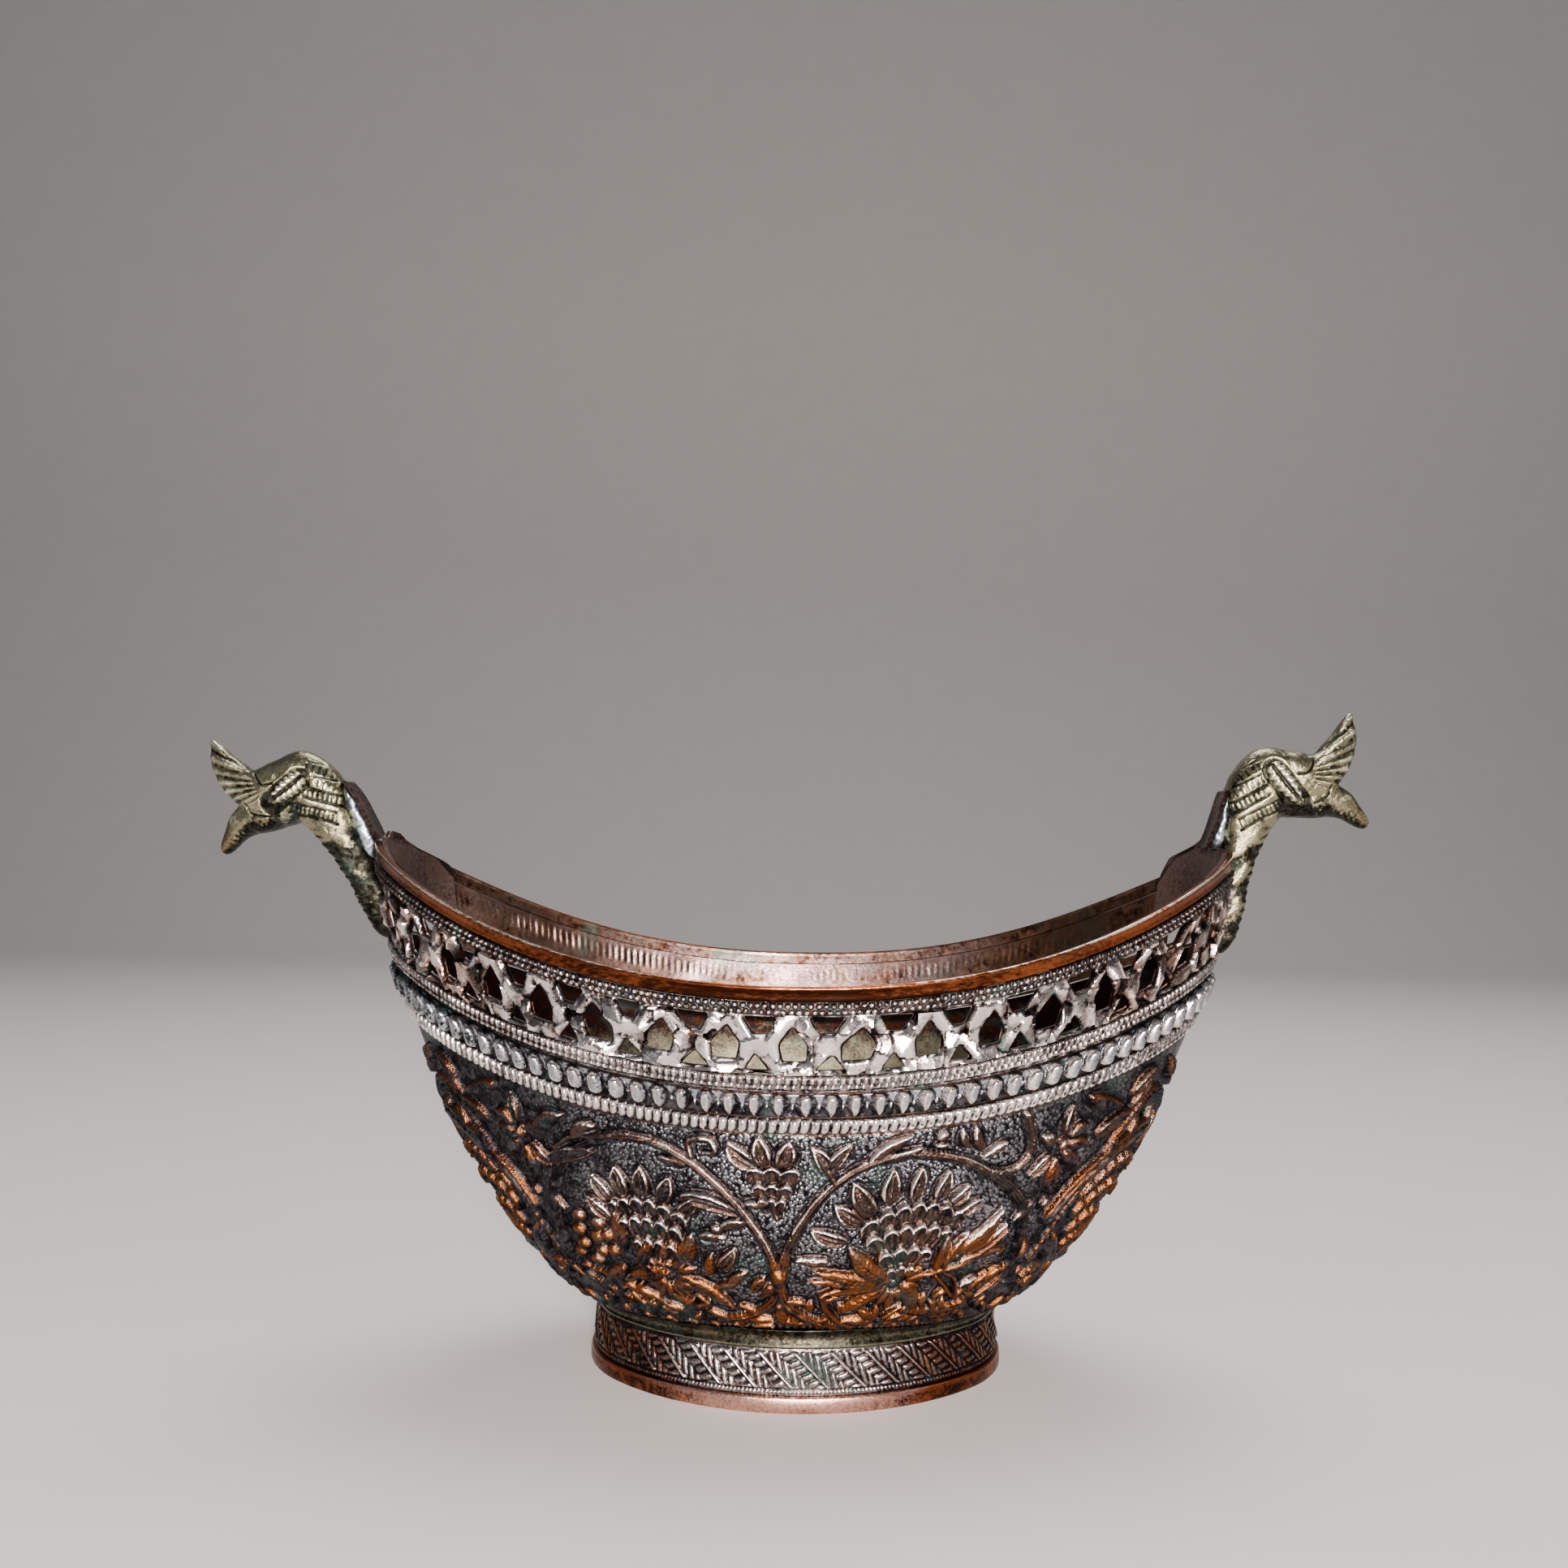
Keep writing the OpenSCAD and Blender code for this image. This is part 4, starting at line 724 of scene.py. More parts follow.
def boss_relief(along, v, u):
    """Bosses: keeled shields with a point below at mid-length, round drops toward the ends."""
    n = (u - U_KEEL) / (1 - 2 * U_KEEL) * BOSS_N
    i = np.clip(np.floor(n), 0, BOSS_N - 1)
    x = (n - i - 0.5 + 0.07 * (scatter(i, 4) - 0.5)) * BOSS_PITCH
    rounded = ease(np.abs(u - 0.53), 0.08, 0.2)
    crest = round_top(((v - 0.58) / 0.42) ** 2)
    shield = 2.2 * np.where(v > 0.58, crest**0.7, np.clip(v / 0.58, 0, 1) ** 0.7)
    ball = 2.1 * round_top(((v - 0.52) / 0.47) ** 2)
    wide = np.maximum(shield * (1 - rounded) + ball * rounded, 0.02)
    e = np.clip(np.abs(x) / wide, 0, 1)
    keel = np.clip((1 - e) / 0.72, 0, 1) * 0.9 + 0.1 * np.sqrt(1 - e**2)
    dome = np.sqrt(1 - e**2)
    boss = (keel * (1 - rounded) + dome * rounded) * np.clip(wide / 1.5, 0, 1) ** 0.8
    gap = np.clip(1 - np.abs(np.abs(x) - BOSS_PITCH / 2) / 0.6 - np.abs(v - 0.47) / 0.2, 0, 1)
    plain = 0.35 * ease(v, 0.45, 0.6)
    return np.maximum(0.12 + 2.2 * boss, 0.12 + np.maximum(0.8 * gap, plain))


def rope_relief(along, v, u):
    """Bean-shaped strands of a twisted wire, notched below right of the middle."""
    x = along / ROPE_PITCH - 0.22 * (v - 0.5)
    i = np.floor(x)
    f = (x - i - 0.5 + 0.12 * (scatter(i, 6) - 0.5)) * ROPE_PITCH
    bow = 0.2 * (1 - (2 * v - 1) ** 2)
    r2 = np.abs((f - bow) / 0.86) ** 2.4 + ((v - 0.5) * ROPE_TALL / 1.6) ** 4
    right = ease(u, 0.5, 0.56)
    web = (0.75 + 0.1 * scatter(i, 8)) * right * ease(v, 0.42, 0.6) * ease(0.98 - v, 0, 0.12)
    hole = 0.6 * right * np.exp(-(((v - 0.3) / 0.1) ** 2) - (f / 0.42) ** 2) * (scatter(i, 3) > 0.3)
    return 0.12 + np.maximum(1.15 * round_top(r2), web) - hole


def rim_band(side):
    """Plain rim band with its rolled lip, and the satin inner face."""
    cols = 420
    lip = 1 - 0.95 / WALL_RISE
    low, low_in = S_RIM + SEAM / WALL_RISE, S_RIM - 0.9 * SEAM / WALL_RISE
    # Level and distance out from the wall: up the outside, over the lip and down the inside
    section = [
        (low, 0.0), (low + 0.002, 0.1), (0.972, 0.12), (lip - 0.003, 0.12), (lip, 0.28), (lip + 0.004, 0.36),
        (0.9965, 0.36), (1.0, 0.2), (1.0, -0.2), (1.0, -0.6), (1.0, -1.0), (0.9965, -1.24),
        (0.985, -WALL_T), (0.974, -WALL_T), (low_in + 0.003, -WALL_T), (low_in, -WALL_T), (low, -0.6),
    ]
    s, w = np.array(section).T
    u, ss = np.meshgrid(np.linspace(U_GAP, 1 - U_GAP, cols + 1), s)
    along = u * HALF_ARC
    ww = w[:, None] + 0.05 * wander(along, ss * 80, 4) * (np.abs(w[:, None]) < 1.3)
    spots = on_wall(ss, u, ww, side)
    spots[:, :, 2] += 0.12 * wander(along, 0 * along, 22) * ease(ss, 0.962, 1.0)
    on_lip = ((s > 0.996) & (w > 0.0))[:, None] * np.ones(u.shape)
    inner = (w < -1.1)[:, None] * np.ones(u.shape)
    # Painted dark reflection: the band is darker about its middle, and inside it turns browner toward the
    # ends, the right one most
    shade = 0.48 - 0.4 * bell(u - 0.5, 0.2) + 0.12 * wander(along, ss * 300, 9)
    brown = np.where(u > 0.52, 1.05, 0.75) * ease(np.abs(u - 0.52), 0.07, 0.26)
    patchy = 0.46 + 0.22 * wander(along, ss * 160, 7)
    notes = {
        "rub_and_shade": np.where(inner > 0, patchy, shade + 0.5 * on_lip),
        "worn": np.where(inner > 0, brown, 0.2 * u),
        "inner": inner,
    }
    return wrap_loop(spots, notes)


# Pierced gallery

# Openings between the crossing straps, in flat millimetres from the middle of each and from the lower edge,
# with the share of a cell by which they are moved along
HOLES = (
    ([(0, 9.9), (3.0, 6.2), (2.5, 2.9), (-2.5, 2.9), (-3.0, 6.2)], 0.0),
    ([(-3.2, 11.7), (3.2, 11.7), (1.3, 8.4), (-1.3, 8.4)], 0.5),
    ([(0, 4.0), (2.6, 0.9), (-2.6, 0.9)], 0.5),
)
# Height of the back strip's openings beside the front's, and how sharp the corners of an opening are
BACK_SQUASH, CORNER_SHARP = 0.64, 5.0


def hole_distance(x, y, side):
    """Distance from the nearest opening's edge, negative inside it, in flat millimetres."""
    near = np.full(x.shape, 9.0)
    y = y / (BACK_SQUASH if side > 0 else 1.0)
    for key, (shape, offset) in enumerate(HOLES, 1):
        i = np.round(x / GALLERY_PITCH - offset)
        # Cut by hand: each opening is moved, widened and skewed a little
        a, b, c, d = (scatter(i, key, m) - 0.5 for m in range(4))
        px = (x - (i + offset) * GALLERY_PITCH - 1.3 * a) / (1 + 0.3 * b)
        mid = sum(q[1] for q in shape) / len(shape)
        py = mid + (y - mid - 0.3 * c) / (1 + 0.1 * d)
        px = px + 0.4 * d * (py - mid)
        total = np.zeros(x.shape)
        for (x0, y0), (x1, y1) in zip(shape, shape[1:] + shape[:1]):
            ex, ey = x1 - x0, y1 - y0
            out = ((px - x0) * -ey + (py - y0) * ex) / math.hypot(ex, ey)
            total = total + np.exp(np.clip(CORNER_SHARP * out, -40, 40))
        near = np.minimum(near, np.log(np.maximum(total, 1e-17)) / CORNER_SHARP)
    return near


def cut_sheet(side):
    """Flat sheet with its openings cut and their edges trued; the third coordinate is 1 on its outer face."""
    cols, rows = CELL_N * 34, 38
    tall = (S_RIM - S_LATTICE) * WALL_RISE - 2 * SEAM
    bm = bmesh.new()
    bmesh.ops.create_grid(bm, x_segments=cols, y_segments=rows, size=1)
    x = np.tile(np.linspace(0, CELL_N * GALLERY_PITCH, cols + 1), rows + 1)
    y = SEAM + np.repeat(np.linspace(0, tall, rows + 1), cols + 1)
    for vert, px, py in zip(bm.verts, x.tolist(), y.tolist()):
        vert.co = (px, py, 0)
    middles = np.array([f.calc_center_median()[:2] for f in bm.faces])
    inside = hole_distance(middles[:, 0], middles[:, 1], side) < 0
    gone = [f for f, cut in zip(bm.faces, inside.tolist()) if cut]
    bmesh.ops.delete(bm, geom=gone, context="FACES")
    edge_verts = [v for v in bm.verts if v.is_boundary and 0.3 < v.co.y < 12.3]
    p = np.array([v.co[:2] for v in edge_verts])
    nudge = 0.01
    for _ in range(3):
        ex, ey = p.T
        d = hole_distance(ex, ey, side)
        gx = (hole_distance(ex + nudge, ey, side) - hole_distance(ex - nudge, ey, side)) / (2 * nudge)
        gy = (hole_distance(ex, ey + nudge, side) - hole_distance(ex, ey - nudge, side)) / (2 * nudge)
        size = np.maximum(gx**2 + gy**2, 0.2)
        p = p - (np.clip(d, -0.3, 0.3) / size)[:, None] * np.stack([gx, gy], 1)
    for vert, spot in zip(edge_verts, p.tolist()):
        vert.co.x, vert.co.y = spot
    made = bmesh.ops.extrude_face_region(bm, geom=bm.faces[:])["geom"]
    for vert in (g for g in made if isinstance(g, bmesh.types.BMVert)):
        vert.co.z = 1
    # The extrusion adds its side faces in any order, so they are put into one order for every run
    bm.verts.index_update()
    ordered = sorted(bm.faces, key=lambda face: sorted(vert.index for vert in face.verts))
    rank = {face: place for place, face in enumerate(ordered)}
    bm.faces.sort(key=lambda face: rank[face])
    return bm


def gallery(side):
    """Pierced strip: the cut sheet given its thickness and bent to the wall."""
    bm = cut_sheet(side)
    x, y, outward = np.array([v.co[:] for v in bm.verts]).T
    d = hole_distance(x, y, side)
    lattice = ease(12.25 - y, 0.0, 0.5)
    u = U_GAP + x / (CELL_N * GALLERY_PITCH) * (1 - 2 * U_GAP)
    s = S_LATTICE + y / WALL_RISE
    bevel = np.clip(d / 0.5, 0, 1)
    facet, edge = facets(x, y, 3.9)
    facet = 0.8 * facet
    crown = -0.4 + 0.55 * bevel**0.8 + 0.2 * np.clip((d - 0.5) / 0.8, 0, 1) + facet * bevel
    outer = np.where(lattice > 0, crown * lattice, 0)
    # Inside, the punched beads show through as a row of upright dents
    dent = np.exp(-(((y - 11.6) / 1.7) ** 4))
    soft = (1 - 0.75 * ease(u, 0.3, 0.45)) * (0.6 + 0.5 * wander(x, y, 6))
    flutes = soft * dent * (0.16 * np.cos(2 * np.pi * x / 1.75) + 0.08 * np.cos(2 * np.pi * x / 5.6))
    inner = -WALL_T + 0.12 + flutes + 0.07 * wander(x, y, 4)
    spots = on_wall(s, u, np.where(outward > 0.5, outer, inner), side) * MM
    # Painted shade: the chamfers down into the openings are darker, and the strip darkens toward its ends,
    # where it also shows more copper
    far = ease(np.abs(u - 0.5), 0.12, 0.32)
    rub_and_shade = 0.14 + 0.6 * ease(d, 0.02, 0.4) + 0.55 * facet * bevel
    rub_and_shade = rub_and_shade - 0.3 * ease(0.3 - edge, 0, 0.25) - 0.24 * far
    worn = 0.05 + 0.5 * far + 0.1 * wander(x, y, 7)
    inner_face = outward < 0.5
    rub_and_shade = np.where(inner_face, 0.52 + 1.1 * flutes + 0.24 * wander(x, 2 * y, 7), rub_and_shade)
    # Inside, painted dark reflection: browner toward the ends, the right one most
    worn = np.where(inner_face, np.where(u > 0.52, 1.05, 0.6) * ease(np.abs(u - 0.52), 0.07, 0.26), worn)
    layers = [bm.verts.layers.float.new(label) for label in ("rub_and_shade", "worn", "inner")]
    values = zip(bm.verts, spots.tolist(), np.clip(rub_and_shade, 0, 1).tolist(), worn.tolist(), inner_face.tolist())
    for vert, spot, *told in values:
        vert.co = spot
        for layer, value in zip(layers, told):
            vert[layer] = float(value)
    bmesh.ops.recalc_face_normals(bm, faces=bm.faces)
    for face in bm.faces:
        face.smooth = True
    crease(bm, 42)
    return bm


# Heads

# Neck of each head: height, back and front of the ring, half width
NECK_ROWS = {
    "right": [(-1.2, -2.6, 0.0, 1.2), (0.4, -3.4, 1.5, 2.2), (4.1, -3.6, 3.2, 3.2), (9.8, -3.2, 4.2, 3.7),
              (15.5, -2.6, 4.8, 3.9), (20.5, -2.2, 5.9, 4.2)],
    "left": [(-0.9, -3.6, -0.6, 1.2), (0.8, -4.6, 1.2, 2.2), (4.4, -5.0, 2.4, 3.2), (11.0, -4.1, 3.5, 3.7),
             (16.0, -3.7, 4.5, 3.9), (20.5, -3.2, 5.8, 4.2)],
}
# Skull and lower jaw: centre outward and up, direction in degrees, half height, half width
SKULL_ROWS = [
    (3, 27, 84, 5.2, 4.7), (3.9, 32.5, 68, 7, 5.2), (7.5, 38, 30, 8.2, 5.5), (12, 38.2, 8, 7.3, 5.3),
    (17, 38.9, 14, 6, 4.8), (20.6, 41.6, 46, 4.5, 4.2), (23, 45.6, 68, 3.6, 3.2),
    (24.1, 49.4, 80, 2.4, 2.2), (24.9, 53.5, 84, 0.5, 0.5),
]
JAW_ROWS = [
    (11, 33.6, 0, 3.2, 4.2), (14, 34, 0, 3.7, 4.6), (19, 34.2, -2, 4.0, 4.2), (22.6, 34.2, -14, 3.8, 3.6),
    (25.5, 32.9, -32, 2.9, 2.9), (28.2, 30.8, -40, 2.1, 2.1), (30.4, 28.9, -44, 1.2, 1.3),
    (31.0, 28.3, -44, 0.3, 0.3),
]
# Grain of the fused casting in millimetres, and the least number of faces that a whole one has
CASTING_STEP, CASTING_LEAST = 0.24, 5000
# Axis of each ear, from its round end to its point
EAR_LINE = {"right": ((6.0, 42.0), (14.0, 33.0)), "left": ((4.8, 39.6), (14.4, 35.8))}


def head_place(p, q, y, hand):
    """From the head's own sheet (p outward, q up, y across) to the bowl."""
    lean = math.radians(LEAN[hand])
    x = RIM_A + p * math.cos(lean) + q * math.sin(lean)
    z = PIVOT_Z + q * math.cos(lean) - p * math.sin(lean)
    return np.stack([x if hand == "right" else -x, y, z], -1)


def head_sheet(spots, hand):
    """From the bowl back to the head's own sheet."""
    lean = math.radians(LEAN[hand])
    x = spots[:, 0] * (1 if hand == "right" else -1) - RIM_A
    z = spots[:, 2] - PIVOT_Z
    return x * math.cos(lean) - z * math.sin(lean), x * math.sin(lean) + z * math.cos(lean), spots[:, 1]


def lofted(rows, around, square, hand):
    """Closed body carried through rings: centre p and q, direction, half height and half width."""
    line = through(rows, 7)
    a = np.linspace(0, 2 * np.pi, around + 1)
    a[-1] = 0
    aa, p = np.meshgrid(a, line[:, 0])
    q, d, hh, hw = (np.repeat(line[:, k:k + 1], around + 1, 1) for k in (1, 2, 3, 4))
    d = np.radians(d)
    reach, across = hh * signed_power(np.cos(aa), square), hw * signed_power(np.sin(aa), square)
    spots = head_place(p + reach * np.sin(d), q - reach * np.cos(d), across, hand)
    return wrap_grid(around, len(line) - 1, spots)


def neck_rows(hand):
    """Rings of the neck in the form that the lofted body takes."""
    return [((back + front) / 2, q, 90, (front - back) / 2, wide) for q, back, front, wide in NECK_ROWS[hand]]


def ear_leaf(hand, side):
    """Leaf-shaped ear with a notched edge, standing off the cheek."""
    cols, n = 44, 14
    a = np.linspace(0, 1, cols + 1)
    b = np.concatenate([np.linspace(-1, 1, n + 1), np.linspace(1, -1, n + 1)[1:]])
    front = np.concatenate([np.ones(n + 1), np.zeros(n)])[:, None]
    k, bb = np.meshgrid(a, b)
    wide = 2.5 * np.sqrt(np.clip(np.sin(np.pi * k**0.7), 0, 1)) * (1 - 0.25 * k) + 0.02
    notch = 1 - 0.26 * (0.5 + 0.5 * np.cos(2 * np.pi * k * 7)) ** 2 * ease(np.abs(bb), 0.5, 0.95)
    (p0, q0), (p1, q1) = EAR_LINE[hand]
    length = math.hypot(p1 - p0, q1 - q0)
    ax, ay = (p1 - p0) / length, (q1 - q0) / length
    cross = wide * notch * bb
    p = p0 + ax * k * length - ay * cross
    q = q0 + ay * k * length + ax * cross
    rib = -0.5 * np.cos(2 * np.pi * k * 7) * ease(np.abs(bb), 0.25, 0.5)
    gully = -0.55 * bell(bb, 0.2)
    dome = round_top(bb**2)
    face = 0.75 * dome * (1 + 0.35 * rib) + gully * np.sin(np.pi * k) + 0.16 * rib
    tilt = 0.35 * bb
    y = 5.35 + 0.5 * k + tilt * 0.6 + np.where(front > 0.5, np.clip(face, -0.1, 2) + 0.15, -0.55 * dome)
    return wrap_grid(cols, 2 * n, head_place(p, q, side * np.minimum(y, 6.75), hand))


# Lines cut into each cheek, and lines of short ticks with their pitch
CHEEK_LINES = [
    [(1.0, 27.2), (5.0, 29.6), (11.2, 32.6)], [(0.2, 29.6), (4.4, 31.8), (10.2, 34.6)],
    [(-1.7, 30.6), (2.4, 32.8), (6.6, 35.2)], [(-1.9, 33.2), (1.6, 35.0), (5.8, 37.3)],
    [(-2.3, 36.4), (1.2, 38.2), (5.0, 40.2)], [(-2.8, 38.6), (-0.6, 40.4), (3.0, 42.8)],
    [(-1.9, 24.1), (-2.0, 31.2), (-2.6, 37.4)], [(13.8, 32.6), (16.6, 33.3), (20.0, 35.0), (20.9, 37.7)],
    [(12.8, 40.0), (15.4, 40.6), (16.4, 43.4)],
]
CHEEK_TICKS = [
    ([(0.6, 28.4), (4.7, 30.7), (10.7, 33.6)], 1.1), ([(-1.8, 31.9), (2.0, 33.9), (6.2, 36.2)], 1.15),
    ([(-2.1, 34.8), (1.4, 36.6), (5.4, 38.7)], 1.3), ([(-2.5, 37.6), (0.4, 39.4), (4.0, 41.6)], 1.5),
]


def head_marks(p, q, y, out, hand):
    """Incised and chased marks on a head: depth in millimetres, negative is cut in."""
    side = ease(np.abs(out[:, 1]), 0.3, 0.6)
    mark = np.zeros(p.shape)
    on_head = q > 23
    for line in CHEEK_LINES:
        d = line_distance(p, q, through(line))
        mark = mark - 0.34 * bell(d, 0.26) * side * on_head
    for line, pitch in CHEEK_TICKS:
        track = through(line)
        d = line_distance(p, q, track)
        run = (p - track[0, 0]) * 0.87 + (q - track[0, 1]) * 0.49
        length = math.hypot(*(track[-1] - track[0]))
        tick = 0.5 + 0.5 * np.cos(2 * np.pi * run / pitch)
        inside = (d < 0.9) & (run > 0) & (run < length)
        mark = mark - np.where(inside, 0.22 * tick**3, 0) * side
    # Round each ear the cheek is sunk a little, which also paints it dark as the shadow under the ear
    (p0, q0), (p1, q1) = EAR_LINE[hand]
    near_ear = line_distance(p, q, np.array([(p0 + 0.15 * (p1 - p0), q0 + 0.15 * (q1 - q0)), (p1, q1)]))
    mark = np.where((near_ear < 3.0) & (side > 0.2), -0.32 * ease(3.0 - near_ear, 0, 0.5), mark)
    # Ribs of the upper jaw spread like a fan from the brow
    spread = np.arctan2(q - 39.5, p - 11.5)
    fan = ease(p - 0.25 * (q - 40), 16.4, 17.6) * ease(q, 36.5, 38.5) * side
    mark = mark + fan * 0.2 * np.cos(spread * 39 + 0.6)
    # Crescent scales down the outer face of the neck
    front = ease(out[:, 3], 0.25, 0.6) * ease(q, 1.5, 3.5) * ease(30 - q, 0, 5)
    scale = np.modf((q + 0.09 * y**2 + 40) / 2.15)[0]
    mark = mark + front * (0.3 * scale - 0.22)
    # Pitted underside of the lower jaw
    chin = ease(p, 13, 15) * ease(-out[:, 4], 0.1, 0.5) * (q < 34)
    mark = mark - chin * 0.16 * (0.5 + 0.5 * np.cos(2 * np.pi * p / 1.3) * np.cos(2 * np.pi * y / 1.2))
    facet = 0.16 * wander(p * 1.1, q * 1.1 + 0.6 * y, 2.2) + 0.05 * wander(p + y, q - y, 0.7)
    return mark + facet * ease(q, 1, 3)


def fused_casting(hand):
    """Neck, skull and lower jaw fused into one smooth skin."""
    joined = bmesh.new()
    join(joined, lofted(neck_rows(hand) + SKULL_ROWS, 32, 0.78, hand))
    join(joined, lofted(JAW_ROWS, 24, 0.85, hand))
    rough = bpy.data.meshes.new("casting_rough")
    joined.to_mesh(rough)
    joined.free()
    holder = bpy.data.objects.new("casting_rough", rough)
    bpy.context.scene.collection.objects.link(holder)
    fuse = holder.modifiers.new("Fuse", "REMESH")
    fuse.mode = "VOXEL"
    fuse.voxel_size = CASTING_STEP * MM
    bpy.context.view_layer.update()
    fused = bpy.data.meshes.new_from_object(holder.evaluated_get(bpy.context.evaluated_depsgraph_get()))
    bpy.data.objects.remove(holder)
    bpy.data.meshes.remove(rough)
    if len(fused.polygons) < CASTING_LEAST:
        raise RuntimeError("the casting did not fuse")
    bm = bmesh.new()
    bm.from_mesh(fused)
    bpy.data.meshes.remove(fused)
    for _ in range(3):
        bmesh.ops.smooth_vert(
            bm, verts=bm.verts, factor=0.5, use_axis_x=True, use_axis_y=True, use_axis_z=True)
    bm.normal_update()
    return bm


def ear_shade(spots, hand):
    """How far an ear is rubbed: dark along its middle, painted dark underneath as its shadow, bright toward
    its edge.
    """
    (p0, q0), (p1, q1) = EAR_LINE[hand]
    p, q, y = head_sheet(spots, hand)
    cross = np.abs((q - q0) * (p1 - p0) - (p - p0) * (q1 - q0)) / math.hypot(p1 - p0, q1 - q0)
    return np.clip(0.15 + 0.75 * ease(cross, 0.3, 0.9) - 0.5 * (np.abs(y) < 5.3), 0, 1)


def dragon_head(hand):
    """Cast head and neck, fused from lofted bodies, then chased, with an ear on each cheek."""
    bm = fused_casting(hand)
    spots = np.array([v.co[:] for v in bm.verts]) / MM
    normal = np.array([v.normal[:] for v in bm.verts])
    p, q, y = head_sheet(spots, hand)
    tip_p, tip_q, _ = head_sheet(spots + normal, hand)
    out = np.column_stack([normal, tip_p - p, tip_q - q])
    mark = head_marks(p, q, y, out, hand)
    spots = spots + normal * mark[:, None]
    # Painted shade: faces turned down are darker and warmer, and the lower neck is painted in shadow, the
    # left one most
    underside_shade = np.clip(-out[:, 4], 0, 1)
    shade = (0.4 if hand == "left" else 0.2) * ease(27 - q, 0, 6)
    rub_and_shade = np.clip(0.52 + 1.3 * mark - 0.42 * underside_shade - shade, 0, 1)
    worn = 0.25 * underside_shade + 0.8 * ease(p, 25, 29) * (q < 36) + 0.8 * ease(-q, -6, 0)
    layer_r, layer_w = bm.verts.layers.float.new("rub_and_shade"), bm.verts.layers.float.new("worn")
    for vert, spot, r, w in zip(bm.verts, (spots * MM).tolist(), rub_and_shade.tolist(), worn.tolist()):
        vert.co = spot
        vert[layer_r], vert[layer_w] = r, w
    for side in (-1, 1):
        before = len(bm.verts)
        join(bm, ear_leaf(hand, side))
        bm.verts.ensure_lookup_table()
        ear = bm.verts[before:]
        rub_and_shade = ear_shade(np.array([v.co[:] for v in ear]) / MM, hand)
        for vert, value in zip(ear, rub_and_shade.tolist()):
            vert[layer_r] = value
    for face in bm.faces:
        face.smooth = True
    return bm


# Stem plates and solder

# Back line of the tongue that stands behind each neck: height and depth in the head's own sheet
TONGUE = {
    "right": [(23.2, -6.4), (27.3, -5.0), (31.5, -3.9), (34.0, -3.3), (36.2, -2.6)],
    "left": [(22.2, -6.4), (25.0, -6.1), (31.3, -5.0), (34.0, -4.2), (36.4, -3.1)],
}
# Half width and depth of a stem plate, its thickness, and the two steps of its edge above the far rim
PLATE_HALF, PLATE_DROP, PLATE_T = 24, 15.5, 1.0
PLATE_STEPS = {"right": (3.6, 1.4), "left": (0.5, 0.3)}
# How the plate narrows above the rim to its tongue: share of its width, height over the rim
PLATE_TAPER = ((0.97, 0), (0.8, 0.05), (0.6, 0.2), (0.42, 0.7), (0.3, 1.6))


def stem_plate(hand):
    """Sheet lapped inside the end of the wall, with a tongue that stands behind the neck."""
    cols = 56
    rise, second = PLATE_STEPS[hand]
    half_turn = float(turn(1.0) - turn(1 - PLATE_HALF / HALF_ARC))
    v = np.linspace(-1, 1, cols + 1)
    low = 1 - PLATE_DROP / (RIM_H + SHEER - SEAT_END)

    def on_end(s, share, w, up):
        t, s = half_turn * v * share, np.full(v.shape, s)
        spot = wall(s, t) + w * wall_out(s, t)
        # Only the far half steps up over the rim, the near half stays under the lip
        step = rise * ease(1 - v * share, 0.0, 0.12) + second * ease(0.5 - v * share, 0.0, 0.16)
        lip = step * ease(v * share, -0.02, 0.1) - 0.7 * ease(-v * share, -0.02, 0.06)
        spot[:, 2] += up + np.where(s < 1, 0, lip)
        return spot

    def sheet(w, thick):
        rows = [on_end(s, 1.0, w, 0) for s in np.linspace(low, 0.985, 6)]
        rows += [on_end(1.0, share, w, up) for share, up in PLATE_TAPER]
        if hand == "left":
            rows = [row * np.array([-1, 1, 1]) for row in rows]
        for q, p in TONGUE[hand]:
            rows.append(head_place(p + thick - 0.3 * v**2, np.full(v.shape, q), 3.3 * v, hand))
        runs = []
        for a, b in zip(rows[:-1], rows[1:]):
            runs += [a + (b - a) * k for k in np.linspace(0, 1, 4, endpoint=False)]
        return np.array(runs + rows[-1:])

    outer, inner = sheet(-WALL_T - SEAM, 0.9), sheet(-WALL_T - SEAM - PLATE_T, 0.0)
    spots = np.concatenate([outer, inner[::-1]])
    shape = np.full(spots.shape[:2], 0.5) + 0.1 * wander(spots[..., 1], spots[..., 2], 5)
    shape = shape - 0.25 * ease(spots[..., 2], 123.5, 127) * (np.abs(spots[..., 1]) < 8)
    return wrap_loop(spots, {"rub_and_shade": shape, "worn": 0 * shape + 0.3})


def solder_bed(hand):
    """Lumpy solder between the tongue and the back of the neck."""
    cols, n = 28, 48
    # On the leaning left head it also runs down into the wedge above the rim
    low, high = 17.5 if hand == "left" else 22.6, 36.2
    a = np.linspace(0, 2 * np.pi, cols + 1)
    a[-1] = 0
    aa, qq = np.meshgrid(a, np.linspace(low, high, n + 1))
    back = np.interp(qq, *zip(*TONGUE[hand])) + 0.7 + 0.8 * ease(22.2 - qq, 0, 4)
    front = np.maximum(back + 0.6, -1.8)
    lump = 0.16 * wander(2.4 * np.cos(aa) + qq, 1.5 * qq, 1.0)
    swell = np.sqrt(np.clip(1 - ((2 * qq - low - high) / (high - low + 0.1)) ** 4, 0.02, 1))
    p = (back + front) / 2 + ((front - back) / 2 * swell + lump) * signed_power(np.cos(aa), 0.6)
    y = (3.1 + 1.5 * lump) * swell * signed_power(np.sin(aa), 0.6)
    shape = np.full(aa.shape, 0.5)
    return wrap_grid(cols, n, head_place(p, qq, y, hand), {"rub_and_shade": shape + 1.5 * lump, "worn": 0 * shape})


# Foot

